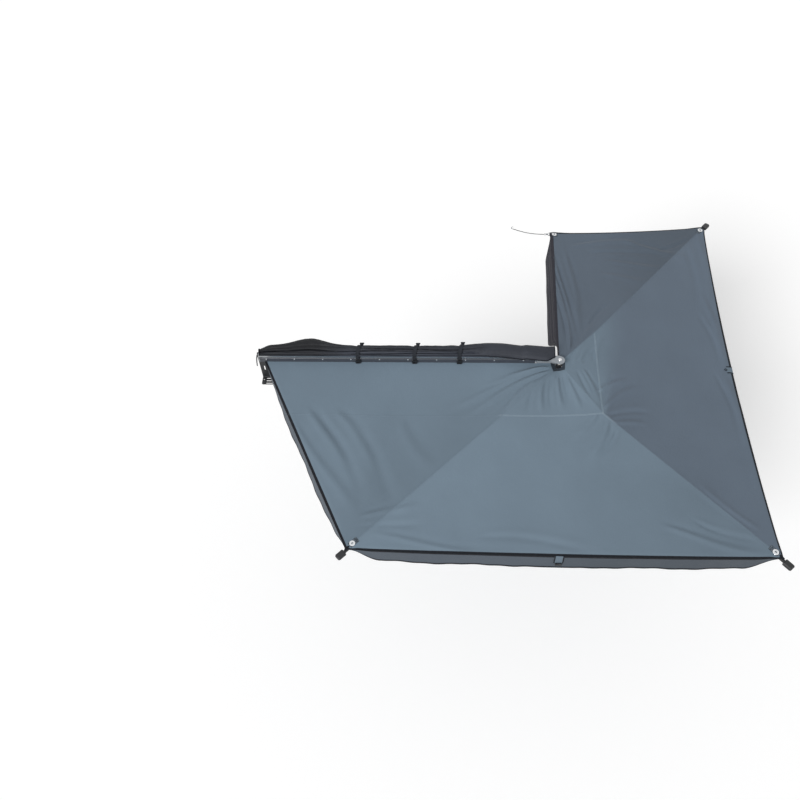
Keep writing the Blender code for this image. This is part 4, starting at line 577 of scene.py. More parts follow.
def sector_rows(sector, across, height_scale):
    """Points of a sector's columns: the roof from the hinge outwards, then its valance."""
    ones = np.ones(len(across))
    inner = roof_point(sector, across, 0.0 * ones)
    outer = roof_point(sector, across, ones)
    length = np.linalg.norm((outer - inner)[:, :2], axis=1)
    hub = np.array(HUB_STEPS)[:, None] / length
    reach = 1 - (EDGE_STEPS[0] + EDGE_GAP + HUB_TAPE_WIDTH) / length
    main = HUB_TAPE_WIDTH / length + np.linspace(0.0, 1.0, ROOF_ROWS)[:, None] * reach
    edge = 1 - np.array(EDGE_STEPS)[:, None] / length
    share = np.concatenate([hub, main, edge])
    spread = np.broadcast_to(across, share.shape)
    points = roof_point(sector, spread, share)
    width = np.linalg.norm((sector.second(share) - sector.first(share))[..., :2], axis=-1)
    from_edge = (1 - share) * length
    hold = fold_hold(sector, spread * width, (1 - spread) * width, share * length, from_edge)
    x, y = points[..., 0] + PIN[0], points[..., 1] + PIN[1]
    points[..., 2] += hold * height_scale * (fold_height(x, y) + ripple_height(x, y))
    edge_length = np.linalg.norm(sector.second(1.0) - sector.first(1.0))
    from_end = np.minimum(across, 1 - across)
    roll = np.clip(1 - from_edge / EDGE_ROLL_WIDTH, 0, 1) ** 2
    points[..., 2] -= EDGE_ROLL_DEPTH * roll * smooth((from_end * edge_length - 0.04) / 0.12)
    top = points[-1]
    drop = skirt_height(across, edge_length) - (outer[:, 2] - top[:, 2])
    swing = skirt_wave(sector, across) - sector.flare * smooth(from_end / 0.25)
    rows = [top - (outward(sector) * swing[:, None] + np.array((0, 0, 1)) * drop[:, None]) * step
            for step in SKIRT_STEPS]
    return np.concatenate([points, np.stack(rows)])


def column_shares(count):
    """Shares across a sector, twice as dense at its ridges as on average."""
    even = np.linspace(0.0, 1.0, count + 1)
    return even - 0.5 * np.sin(2 * np.pi * even) / (2 * np.pi)


def eyelet_places():
    """Centres of the four eyelets, from the part's own nodes."""
    boxes = [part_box("eyelet_" + letter) for letter in "abcd"]
    return [np.array((low + high) / 2) for low, high in boxes]


def part_round_eyelets(points):
    """Move grid points off the eyelets' bores, so that whole faces can be left out there."""
    for centre in eyelet_places():
        offset = points[..., :2] - centre[:2]
        distance = np.linalg.norm(offset, axis=-1)
        near = (distance < EYELET_REACH) & (np.abs(points[..., 2] - centre[2]) < 0.02)
        moved = EYELET_CLEAR * 1.25 + distance * (1 - EYELET_CLEAR * 1.25 / EYELET_REACH)
        scale = np.where(near, moved / np.maximum(distance, 1e-6), 1.0)
        points[..., :2] = centre[:2] + offset * scale[..., None]
    return points


def open_faces(faces):
    """Which faces stay, by their corners: those that keep clear of every eyelet's bore."""
    keep = np.ones(len(faces), bool)
    for centre in eyelet_places():
        corners = faces[..., :2] - centre[:2]
        nearest = np.full(len(faces), 1e9)
        turn = np.zeros(len(faces))
        for i in range(4):
            start, end = corners[:, i], corners[:, (i + 1) % 4]
            run = end - start
            t = np.clip(-(start * run).sum(1) / np.maximum((run * run).sum(1), 1e-12), 0, 1)
            nearest = np.minimum(nearest, np.linalg.norm(start + run * t[:, None], axis=1))
            cross = start[:, 0] * end[:, 1] - start[:, 1] * end[:, 0]
            turn += np.arctan2(cross, (start * end).sum(1))
        keep &= (nearest > EYELET_CLEAR * 0.98) & (np.abs(turn) < 3.0)
    return keep


class Cloth:
    """The whole roof and its valances as one grid, with its faces shared out to the bodies."""

    def __init__(self, height_scale):
        blocks = []
        bodies = []
        sectors = []
        for number, sector in enumerate(SECTORS):
            across = column_shares(sector.columns)
            block = sector_rows(sector, across, height_scale) + PIN
            blocks.append(block if number == 0 else block[:, 1:])
            half = sector.columns // 2
            bodies += [sector.bodies[0]] * half + [sector.bodies[1]] * (sector.columns - half)
            sectors += [number] * sector.columns
        self.points = part_round_eyelets(np.concatenate(blocks, axis=1))
        self.normals = grid_normals(self.points)
        self.roof_rows = len(HUB_STEPS) + ROOF_ROWS + len(EDGE_STEPS)
        self.bodies = np.array(bodies)
        self.sectors = np.array(sectors)
        quads = grid_quads(*self.points.shape[:2])
        self.tree = BVHTree.FromPolygons(self.points.reshape(-1, 3).tolist(), quads.tolist())

    def columns_of(self, body):
        """First and last grid column of a body's cloth."""
        found = np.nonzero(self.bodies == body)[0]
        return found[0], found[-1] + 1

    def face_uv(self, first, last):
        """Corner UVs in metres, square to each sector's own outer edge."""
        edge = self.roof_rows - 1
        pieces = []
        for number in np.unique(self.sectors[first:last]):
            columns = first + np.nonzero(self.sectors[first:last] == number)[0]
            block = self.points[:, columns[0]:columns[-1] + 2]
            out = outward(SECTORS[number])
            u = (block - PIN) @ np.array((-out[1], out[0], 0.0))
            v = (block - PIN) @ out
            v[edge:] = v[edge] + (block[edge, :, 2] - block[edge:, :, 2])
            rows, count = u.shape
            corners = np.stack([u, v], axis=-1).reshape(-1, 2)[grid_quads(rows, count)]
            pieces.append(corners.reshape(rows - 1, count - 1, 4, 2))
        return np.concatenate(pieces, axis=1).reshape(-1, 4, 2)

    def drop_on(self, x, y):
        """Point, normal, body and sector of the roof's surface under a point of the plan."""
        hit, normal, face, _ = self.tree.ray_cast(Vector((x, y, 1.0)), Vector((0, 0, -1)))
        if hit is None:
            raise RuntimeError("a seam runs off the cloth at %.3f, %.3f" % (x, y))
        column = face % (self.points.shape[1] - 1)
        if normal.z < 0:
            normal.negate()
        return np.array(hit), np.array(normal), self.bodies[column], self.sectors[column]


def middle_seam():
    """Plan ends of the short seam between the mitre and the rearmost arm."""
    return ((arm_line(ARM_B, MITRE_RADIUS / ARM_B.reach) + PIN)[:2],
            (arm_line(ARM_C, 0.37 / ARM_C.reach) + PIN)[:2])


# Past the middle, how much lighter the cloth lies beside the seam over arm A, and how far out
SEAM_SIDES = {"near": (0.10, 0.75), "front": (-0.07, 0.45)}


def cloth_colour_and_painted_shade(cloth, number, points, hanging):
    """Colour of a sector's cloth at its points: the cloth's colour with each panel's painted light
    and shade, where these meet and drift.
    """
    near, rear, far, valance = (np.array(tone) for tone in (
        cloth.near_colour, cloth.rear_painted_shade_colour, cloth.far_painted_shade_colour, cloth.valance_painted_shade_colour))
    x, y = points[..., 0, None], points[..., 1, None]
    name = SECTORS[number].name
    # The near panel's colour, darker towards the vehicle's rear
    tone = near * (1 - 0.17 * smooth((x - 0.9) / 1.2))
    if name in SEAM_SIDES:
        # The slopes on the two sides of this seam catch the light differently
        amount, width = SEAM_SIDES[name]
        ahead = radial(ARM_A.heading)
        from_seam = np.abs((x - PIN[0]) * ahead[1] - (y - PIN[1]) * ahead[0])
        past_middle = smooth(((x - PIN[0]) * ahead[0] + (y - PIN[1]) * ahead[1] - 0.38) / 0.40)
        tone = tone * (1 + amount * past_middle * (1 - smooth(from_seam / width)))
    if name == "rear":
        # Painted light: the piece round the hub keeps the near panel's tone up to the middle seam,
        # and the rear panel's painted shade starts past it
        start, end = middle_seam()
        length = np.linalg.norm(end - start)
        run = (end - start) / length
        past = (x - start[0]) * run[1] - (y - start[1]) * run[0]
        along = np.clip(((x - start[0]) * run[0] + (y - start[1]) * run[1]) / length, 0, 1)
        tone = tone + (rear - tone) * smooth(past / (0.04 + 0.22 * along))
    # Painted shade: the far panel takes the darker copy of the cloth, darker still towards the
    # vehicle's rear
    if name == "far":
        tone = far * (1 - 0.24 * smooth((x - 1.35) / 0.7))
    # Painted shade: the valances hang in shade and take the darker valance copy of the cloth,
    # darker towards the vehicle's rear
    skirt = valance * (1 - 0.26 * smooth((x - 0.6) / 0.9))
    return np.where(np.asarray(hanging)[..., None], skirt, tone)


# Materials

class Surface:
    """Principled material with constant values, and the patterns that vary it."""

    def __init__(self, name, colour, roughness, metallic=0.0, **inputs):
        self.material = bpy.data.materials.new(name)
        self.material.use_nodes = True
        self.material.diffuse_color = (*colour, 1.0)
        self.tree = self.material.node_tree
        self.shader = self.tree.nodes["Principled BSDF"]
        self.relief = None
        self.shader.inputs["Base Color"].default_value = (*colour, 1.0)
        self.shader.inputs["Roughness"].default_value = roughness
        self.shader.inputs["Metallic"].default_value = metallic
        for key, value in inputs.items():
            self.shader.inputs[key.replace("_", " ")].default_value = value

    @functools.cached_property
    def place(self):
        return self.add("TexCoord").outputs["Object"]

    @functools.cached_property
    def uv(self):
        return self.add("UVMap", uv_map="cloth").outputs["UV"]

    def add(self, kind, inputs=None, **settings):
        return add_node(self.tree, "ShaderNode" + kind, inputs, **settings)

    def drive(self, name, node):
        """Let a node set one of the shader's inputs."""
        self.tree.links.new(node.outputs[0], self.shader.inputs[name])
        return node

    def clouds(self, scale, detail, **inputs):
        """Cloudy pattern all through the piece."""
        return self.add("TexNoise", {"Vector": self.place, "Scale": scale, "Detail": detail,
                                     **inputs})

    def spread(self, pattern, low, high, **inputs):
        """Pattern stretched to run from one value to another."""
        return self.add("MapRange", {"Value": pattern, "To Min": low, "To Max": high, **inputs})

    def tint(self, colour, share):
        """Colour times a pattern, as the shader's own colour."""
        return self.drive("Base Color", self.add("VectorMath", {0: colour, "Scale": share},
                                                 operation="SCALE"))

    def mottle(self, colour, scale, amount, detail=3.0):
        """Vary the colour a little over the surface, as uneven colouring, dust and handling do."""
        return self.tint(colour, self.spread(self.clouds(scale, detail), 1 - amount, 1 + amount,
                                             **{"From Min": 0.3, "From Max": 0.7}))

    def dye(self):
        """Colour that the cloth's attribute carries: its own colour with painted light and shade.
        """
        return self.add("Attribute", attribute_name="dye").outputs["Vector"]

    def crossed(self, mix, *bands):
        """Two sets of threads over the cloth's UV map, each a pitch in metres and a turn."""
        waves = []
        for pitch, turn in bands:
            turned_map = self.add("Mapping", {"Vector": self.uv,
                                              "Rotation": (0.0, 0.0, math.radians(turn))})
            # A wave texture's band repeats every pi / 10 of its scaled coordinate
            waves.append(self.add("TexWave", {"Vector": turned_map, "Scale": math.pi / 10 / pitch},
                                  wave_type="BANDS", bands_direction="X",
                                  wave_profile="SIN").outputs["Fac"])
        return self.add("Math", dict(enumerate(waves)), operation=mix)

    def woven(self, pitch):
        """Over-and-under relief of a plain weave."""
        return self.crossed("MULTIPLY", (pitch, 0), (pitch, 90))

    def raise_by(self, pattern, distance, strength):
        """Lay a pattern's relief over the relief that is there already."""
        inputs = {"Height": pattern, "Distance": distance, "Strength": strength}
        if self.relief:
            inputs["Normal"] = self.relief
        self.relief = self.drive("Normal", self.add("Bump", inputs))


def ripstop(name, colour, pitch):
    """Coated polycotton ripstop: a fine weave with a grid of thicker threads, soft dull sheen."""
    made = Surface(name, colour, 0.78, Sheen_Weight=0.12, Sheen_Roughness=0.45,
                   Specular_IOR_Level=0.35)
    # The attribute's colour carries each panel's painted light and shade
    tint = made.mottle(made.dye(), 2.3, 0.045, 4.0)
    # Thicker threads lie about 6 mm apart each way in the real cloth
    grid = made.spread(made.crossed("MAXIMUM", (pitch, 0), (pitch, 90)), 0.0, 1.0,
                       **{"From Min": 0.90, "From Max": 1.0})
    # The weave itself is 0.4 mm and is drawn at 1.2 mm, so that it shows
    made.raise_by(made.woven(0.0012), 0.0002, 0.55)
    made.raise_by(grid, 0.0003, 0.7)
    made.raise_by(made.clouds(34.0, 6.0, Roughness=0.62, Distortion=0.6), 0.0022, 0.55)
    made.tint(tint, made.spread(grid, 1.0, 1.10))
    return made.material


def webbing(name, colour):
    """Woven polypropylene webbing: ribs that cross every 2 to 3 mm, dull and a little blotchy."""
    made = Surface(name, colour, 0.78, Sheen_Weight=0.05, Sheen_Roughness=0.4,
                   Specular_IOR_Level=0.20)
    made.mottle(colour, 60.0, 0.22)
    made.raise_by(made.crossed("ADD", (0.0022, 62), (0.0030, -62)), 0.0005, 0.7)
    return made.material


def bag_cloth(name, colour):
    """Heavy coated polyester: a coarse basket weave under a thin coat that catches the light."""
    made = Surface(name, colour, 0.55, Specular_IOR_Level=0.25, Coat_Weight=0.03,
                   Coat_Roughness=0.30)
    # The attribute's colour carries the bag's painted shade
    made.mottle(made.dye(), 7.0, 0.16, 5.0)
    # Basket weave of 0.8 mm, drawn at 1.8 mm
    made.raise_by(made.woven(0.0018), 0.0004, 0.6)
    made.raise_by(made.clouds(42.0, 6.0, Distortion=0.8), 0.004, 0.7)
    return made.material


def extruded_aluminium(name, colour):
    """Extruded aluminium, satin anodised: faint die lines along the profile."""
    made = Surface(name, colour, 0.34, 1.0)
    drawn_out = made.add("Mapping", {"Vector": made.place, "Scale": (6.0, 900.0, 900.0)})
    lines = made.clouds(1.0, 2.0, Vector=drawn_out)
    made.drive("Roughness", made.spread(lines, 0.26, 0.44))
    made.raise_by(lines, 0.0001, 0.5)
    return made.material


def painted_metal(name, colour, roughness):
    """Powder coat or a dark film over metal: fine orange peel and a soft gloss."""
    made = Surface(name, colour, roughness, Coat_Weight=0.15, Coat_Roughness=0.25)
    made.mottle(colour, 25.0, 0.06)
    made.raise_by(made.clouds(900.0, 2.0), 0.0003, 0.45)
    return made.material


def plated_steel(name, colour, roughness):
    """Nickel or zinc plated steel: bright, with faint handling marks in the gloss."""
    made = Surface(name, colour, roughness, 1.0)
    marks = made.clouds(120.0, 5.0)
    made.drive("Roughness", made.spread(marks, roughness * 0.6, roughness * 1.5))
    return made.material


def moulded_plastic(name, colour, roughness):
    """Moulded glass-filled nylon: a fine spark-eroded grain that breaks up the highlights."""
    made = Surface(name, colour, roughness, Specular_IOR_Level=0.5)
    made.mottle(colour, 40.0, 0.12)
    made.raise_by(made.clouds(1400.0, 2.0), 0.0002, 0.6)
    return made.material


def plain_finish(name, colour, roughness):
    """Sewing thread and nylon bushes: matt, with a slight cloudiness."""
    made = Surface(name, colour, roughness)
    made.mottle(colour, 80.0, 0.10)
    return made.material


def braided_cord(name, colour):
    """Braided polyester cord: strands that cross as they run round it, every 2.6 mm."""
    made = Surface(name, colour, 0.65)
    made.raise_by(made.crossed("MAXIMUM", (0.0026, 40), (0.0026, -40)), 0.0006, 0.8)
    made.mottle(colour, 90.0, 0.2)
    return made.material


def colour_setting(name, description, code):
    return FloatVectorProperty(name=name, description=description, subtype="COLOR", size=3,
                               min=0.0, max=1.0, default=linear_rgb(code))


def number_setting(name, description, default, low, high, subtype="DISTANCE"):
    return FloatProperty(name=name, description=description, default=default, min=low, max=high,
                         subtype=subtype)


class AwningCloth(bpy.types.PropertyGroup):
    # The roof is one cloth: the near colour is its lit tone, and the rear, far and valance colours
    # are the same cloth with painted shade, the valances for hanging in shade
    near_colour: colour_setting("Front cloth", "Colour of the front and near panels", "6D7E8C")
    rear_painted_shade_colour: colour_setting("Rear cloth", "Colour of the rear panel", "5E6B79")
    far_painted_shade_colour: colour_setting("Far cloth", "Colour of the far panel", "586471")
    valance_painted_shade_colour: colour_setting("Valance", "Colour of the hanging valances", "4B545E")
    thread_colour: colour_setting("Thread", "Colour of the seams' thread", "A4B0B9")
    thickness: number_setting("Cloth thickness", "Thickness of the roof's cloth",
                              0.0009, 0.0003, 0.002)
    folds: number_setting("Fold height", "Share of the folds' full height",
                          1.0, 0.0, 1.5, "FACTOR")
    ripstop_pitch: number_setting("Ripstop pitch", "Spacing of the thick threads",
                                  0.006, 0.003, 0.02)
    seam_width: number_setting("Seam width", "Width of the felled seams", 0.010, 0.008, 0.03)
    stitch_pitch: number_setting("Stitch pitch", "Spacing of the stitches", 0.007, 0.003, 0.02)


class AwningTrim(bpy.types.PropertyGroup):
    tape_colour: colour_setting("Edge tape", "Colour of tapes, straps and webbing", "14171D")
    patch_colour: colour_setting("Patches", "Colour of the corner and hub webbing", "353D46")
    strap_colour: colour_setting("Straps", "Colour of the bag's straps", "2A2D33")
    bag_colour: colour_setting("Bag cloth", "Colour of the travel bag", "282B32")
    # The far flap's own dark cloth, with painted shade for the shadow that it hangs in
    flap_colour_and_painted_shade: colour_setting("Far flap", "Colour of the folded flap on the far edge", "22222B")
    tape_thickness: number_setting("Tape thickness", "Thickness of the edge tape",
                                   0.0010, 0.0005, 0.002)
    screw_pitch: number_setting("Screw pitch", "Spacing of the strip's screws", 0.200, 0.1, 0.4)
    tooth_pitch: number_setting("Zip pitch", "Spacing of the zip's teeth", 0.0045, 0.003, 0.01)
    bag_folds: number_setting("Bag folds", "Height of the bag's long folds", 0.0085, 0.0, 0.01)


class AwningStage(bpy.types.PropertyGroup):
    key_strength: number_setting("Key light", "Strength of the soft main light",
                                 2.0, 0.0, 10.0, "NONE")
    key_elevation: number_setting("Key elevation", "Height of the main light",
                                  math.radians(38), 0.1, 1.5, "ANGLE")
    key_azimuth: number_setting("Key azimuth", "Direction of the main light",
                                math.radians(236), 0.0, 6.3, "ANGLE")
    sky_strength: number_setting("Sky", "Strength of the light from all round",
                                 0.50, 0.0, 2.0, "NONE")


def take_settings():
    """The settings of the cloth, the trim and the stage."""
    scene = bpy.context.scene
    return scene.awning_cloth, scene.awning_trim, scene.awning_stage


FINISHES = {}


def finish(name):
    """Make a finish once and hand it out again by its name."""
    if name not in FINISHES:
        cloth, trim, _ = take_settings()
        maker, colour, *values = {
            "ripstop": (ripstop, cloth.near_colour, cloth.ripstop_pitch),
            "black_webbing": (webbing, trim.tape_colour),
            "grey_webbing": (webbing, trim.patch_colour),
            "strap_webbing": (webbing, trim.strap_colour),
            "coated_bag_cloth": (bag_cloth, trim.bag_colour),
            # Light thread on the flat seams, cloth-coloured on the ridges, black on the tapes
            "light_thread": (plain_finish, cloth.thread_colour, 0.7),
            "grey_thread": (plain_finish, "6B7985", 0.7),
            "black_thread": (plain_finish, "2C2F34", 0.7),
            "braided_polyester": (braided_cord, "101215"),
            "plated_steel": (plated_steel, "DCDEE0", 0.22),
            "zinc_plated_wire": (plated_steel, "9DA0A3", 0.28),
            "anodised_aluminium": (extruded_aluminium, "C2C6C9"),
            "black_powder_coat": (painted_metal, "1E2023", 0.42),
            "dark_anodised_strip": (painted_metal, "42464E", 0.40),
            "grey_powder_coat": (painted_metal, "90969C", 0.45),
            "natural_nylon": (plain_finish, "E4E0D6", 0.5),
            "black_nylon": (moulded_plastic, "1C1D20", 0.46),
        }[name]
        tone = linear_rgb(colour) if isinstance(colour, str) else tuple(colour)
        FINISHES[name] = maker(name, tone, *values)
    return FINISHES[name]

# Geometry Nodes trees

def new_tree(name, *labels):
    """Geometry tree with the named number inputs; returns it with its input node."""
    tree = bpy.data.node_groups.new(name, "GeometryNodeTree")
    for way in ("INPUT", "OUTPUT"):
        tree.interface.new_socket("Geometry", in_out=way, socket_type="NodeSocketGeometry")
    for label in labels:
        tree.interface.new_socket(label, in_out="INPUT", socket_type="NodeSocketFloat")
    return tree, tree.nodes.new("NodeGroupInput")


def stored_normal(tree):
    """Normal that a guide mesh keeps at each of its points."""
    return add_node(tree, "GeometryNodeInputNamedAttribute", {"Name": "up"},
                    data_type="FLOAT_VECTOR")


def place_on(tree, points, shape, turn, material):
    """Put a shape on every point, then Realize Instances and Set Material."""
    placed = add_node(tree, "GeometryNodeInstanceOnPoints",
                      {"Points": points, "Instance": shape, "Rotation": turn})
    real = add_node(tree, "GeometryNodeRealizeInstances", {"Geometry": placed})
    painted = add_node(tree, "GeometryNodeSetMaterial", {"Geometry": real, "Material": material})
    add_node(tree, "NodeGroupOutput", {"Geometry": painted})
    return tree


def run_tree(source, tree, **values):
    """Plain mesh object from a tree's result; the source object and its modifier go away."""
    modifier = source.modifiers.new("shape", "NODES")
    modifier.node_group = tree
    for item in tree.interface.items_tree:
        if item.in_out == "INPUT" and item.name in values:
            modifier[item.identifier] = values[item.name]
    depsgraph = bpy.context.evaluated_depsgraph_get()
    mesh = bpy.data.meshes.new_from_object(source.evaluated_get(depsgraph))
    source.modifiers.remove(modifier)
    bpy.data.objects.remove(source, do_unlink=True)
    mesh.name = tree.name
    return link_object(tree.name, mesh)


def row_tree(name, material, kind):
    """Pieces in a row along each edge path, turned to the path and to its stored normals."""
    tree, start = new_tree(name, "Pitch", "Length", "Radius")
    length, radius = start.outputs["Length"], start.outputs["Radius"]
    curve = add_node(tree, "GeometryNodeMeshToCurve", {"Mesh": start})
    points = add_node(tree, "GeometryNodeCurveToPoints",
                      {"Curve": curve, "Length": start.outputs["Pitch"]}, mode="LENGTH")
    if kind == "stitch":
        shape = add_node(tree, "GeometryNodeMeshCylinder",
                         {"Vertices": 6, "Radius": radius, "Depth": length},
                         fill_type="TRIANGLE_FAN")
    else:
        block = add_node(tree, "ShaderNodeCombineXYZ", {"X": length, "Y": radius, "Z": radius})
        shape = add_node(tree, "GeometryNodeMeshCube", {"Size": block})
    first = add_node(tree, "FunctionNodeAlignRotationToVector",
                     {"Vector": points.outputs["Tangent"]}, axis="Z")
    second = add_node(tree, "FunctionNodeAlignRotationToVector",
                      {"Rotation": first, "Vector": stored_normal(tree)}, axis="X", pivot_axis="Z")
    return place_on(tree, points, shape, second, material)


def fastener_tree(name, material):
    """Screws on points, each a flanged head with a hexagon, turned to the point's normal."""
    tree, start = new_tree(name, "Flange", "Head", "Height")
    flange, radius = start.outputs["Flange"], start.outputs["Head"]
    washer = add_node(tree, "GeometryNodeMeshCone", {"Vertices": 24, "Radius Top": radius,
                                                     "Radius Bottom": flange, "Depth": 0.0014})
    head = add_node(tree, "GeometryNodeMeshCylinder",
                    {"Vertices": 6, "Radius": radius, "Depth": start.outputs["Height"]})
    lifted = add_node(tree, "GeometryNodeTransform",
                      {"Geometry": head, "Translation": (0.0, 0.0, 0.0030)})
    both = add_node(tree, "GeometryNodeJoinGeometry", {"Geometry": washer})
    tree.links.new(lifted.outputs[0], both.inputs[0])
    turn = add_node(tree, "FunctionNodeAlignRotationToVector", {"Vector": stored_normal(tree)},
                    axis="Z")
    return place_on(tree, start, both, turn, material)


def guide_mesh(name, places, normals, edges=()):
    """Points and edges for a tree to work on, with each point's normal stored as 'up'."""
    mesh = bpy.data.meshes.new(name)
    mesh.from_pydata([tuple(place) for place in places], list(edges), [])
    attribute = mesh.attributes.new("up", "FLOAT_VECTOR", "POINT")
    attribute.data.foreach_set("vector", np.array(normals, float).ravel())
    return link_object(name, mesh)


def path_mesh(name, paths):
    """Guide mesh with edges along paths of (point, normal) pairs."""
    starts = np.cumsum([0] + [len(path) for path in paths]).tolist()
    edges = [(i, i + 1) for start, stop in zip(starts, starts[1:]) for i in range(start, stop - 1)]
    points, normals = zip(*(pair for path in paths for pair in path))
    return guide_mesh(name, points, normals, edges)


BUILT = {}
STITCHES = {}


def add_stitches(body, colour, path):
    """Keep a path of (point, normal) pairs for the stitching that is made last."""
    if len(path) > 1:
        STITCHES.setdefault((body, colour), []).append(path)


# Roof

class AWNING_OT_canopy(bpy.types.Operator):
    """Roof panels and valances as one sheet, parted where the fan gathers it"""
    bl_idname = "awning.canopy"
    bl_label = "Canopy"

    def execute(self, context):
        cloth, _, _ = take_settings()
        grid = BUILT["cloth"] = Cloth(cloth.folds)
        rows = grid.points.shape[0]
        for body, gather in GATHERS.items():
            first, last = grid.columns_of(body)
            block = grid.points[:, first:last + 1]
            faces = block.reshape(-1, 3)[grid_quads(rows, last - first + 1)]
            piece = closed_sheet("canopy_" + body, block, cloth.thickness, finish("ripstop"),
                                 normals=grid.normals[:, first:last + 1],
                                 uv=grid.face_uv(first, last), keep=open_faces(faces),
                                 dye=self.dye(cloth, grid, faces, first, last))
            carry(piece, body)
            if gather.stands_for:
                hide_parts(*gather.stands_for)
            start, *others = faces.swapaxes(0, 1)
        return {"FINISHED"}

    def dye(self, cloth, grid, corners, first, last):
        """Colour at each corner of a body's faces: the cloth's colour with painted light and shade,
        by the sector that each face lies in.
        """
        rows = grid.points.shape[0] - 1
        hanging = np.repeat(np.arange(rows) >= grid.roof_rows - 1, last - first)
        numbers = np.tile(grid.sectors[first:last], rows)
        dye = np.zeros(corners.shape)
        for number in np.unique(numbers):
            chosen = numbers == number
            dye[chosen] = cloth_colour_and_painted_shade(cloth, number, corners[chosen],
                                     np.repeat(hanging[chosen, None], 4, axis=1))
        return dye


# Section of a strip laid on the cloth: share of its half width, and of its lift
STRIP_SECTION = ((-1.0, 0.15), (-0.75, 1.0), (0.0, 1.15), (0.75, 1.0), (1.0, 0.15))


def strip_over(cloth, grid, path, half_width, lift):
    """Points across a plan path on the cloth, row by row, with their colours and bodies."""
    path = np.array(path)
    tangent = np.gradient(path, axis=0)
    rows = []
    tones = []
    bodies = []
    for point, across in zip(path, unit(np.stack([-tangent[:, 1], tangent[:, 0]], axis=1))):
        hits = [grid.drop_on(*(point + across * half_width * share)) for share, _ in STRIP_SECTION]
        rows.append([hit + normal * lift * rise
                     for (hit, normal, _, _), (_, rise) in zip(hits, STRIP_SECTION)])
        tone = [cloth_colour_and_painted_shade(cloth, sector, hit, False) for hit, _, _, sector in hits]
        tone[2] = (tone[1] + tone[3]) / 2
        tones.append(tone)
        bodies.append(hits[2][2])
    return np.array(rows), np.array(tones), bodies


def body_runs(bodies):
    """Stretches of one body along a path, each sharing its end point with the next."""
    runs = []
    start = 0
    for i in range(1, len(bodies) + 1):
        if i == len(bodies) or bodies[i] != bodies[start]:
            stop = min(i + 1, len(bodies))
            if stop - start > 1:
                runs.append((bodies[start], start, stop))
            start = i
    return runs


def plan_line(points, step=0.012):
    """Plan points every step along straight stretches."""
    result = []
    for (x0, y0), (x1, y1) in zip(points, points[1:]):
        count = max(2, int(math.hypot(x1 - x0, y1 - y0) / step))
        result += [(x0 + (x1 - x0) * i / count, y0 + (y1 - y0) * i / count) for i in range(count)]
    return result + [points[-1]]


def ridge_plan(arm, start, end):
    """Plan points along the seam over an arm, between two distances from the pin."""
    shares = np.linspace(start / arm.reach, end / arm.reach, int((end - start) / 0.012))
    line = arm_line(arm, shares) + PIN
    return [(x, y) for x, y, _ in line.tolist()]


class AWNING_OT_seams(bpy.types.Operator):
    """Felled seams over the arms and round the middle panel, with their double stitching"""
    bl_idname = "awning.seams"
    bl_label = "Seams"

    def execute(self, context):
        cloth, _, _ = take_settings()
        grid = BUILT["cloth"]
        mitre, corner = (tuple(end) for end in middle_seam())
        front_end = (-0.765, mitre[1] + 0.002)
        over_a = (0.66, mitre[1] + 0.0005)
        # Light thread shows on the flat seams only; over the arms the thread has the cloth's tone.
        # Each path comes with its thread and with how much lighter than the cloth it is
        paths = (
            (ridge_plan(ARM_A, 0.520, ARM_A.reach - 0.100), "grey", 1.0),
            (ridge_plan(ARM_B, MITRE_RADIUS + 0.10, ARM_B.reach - 0.100), "grey", 1.0),
            (ridge_plan(ARM_B, MITRE_RADIUS, MITRE_RADIUS + 0.11), "light", 1.12),
            (ridge_plan(ARM_C, 0.075, ARM_C.reach - 0.100), "grey", 1.0),
            (plan_line([front_end, over_a]), "grey", 1.05),
            (plan_line([over_a, mitre]), "light", 1.10),
            (plan_line([mitre, corner]), "light", 1.12),
        )
        found = {}
        for number, (path, thread, lighter) in enumerate(paths):
            rows, tones, bodies = strip_over(cloth, grid, path, cloth.seam_width / 2, SEAM_LIFT)
            for body, start, stop in body_runs(bodies):
                block, tone = rows[start:stop], tones[start:stop] * lighter
                if np.cross(block[1, 2] - block[0, 2], block[0, 4] - block[0, 0])[2] < 0:
                    block, tone = block[:, ::-1], tone[:, ::-1]
                found.setdefault(body, []).append(closed_sheet(
                    "seam_%d" % number, block, SEAM_THICKNESS, finish("ripstop"), dye=tone))
                normals = grid_normals(block)
                for column in (1, 3):
                    add_stitches(body, thread, [(point + normal * 0.0001, normal) for point, normal
                                                in zip(block[:, column], normals[:, column])])
        for body, pieces in found.items():
            carry(joined("seams_" + body, pieces), body)
        return {"FINISHED"}


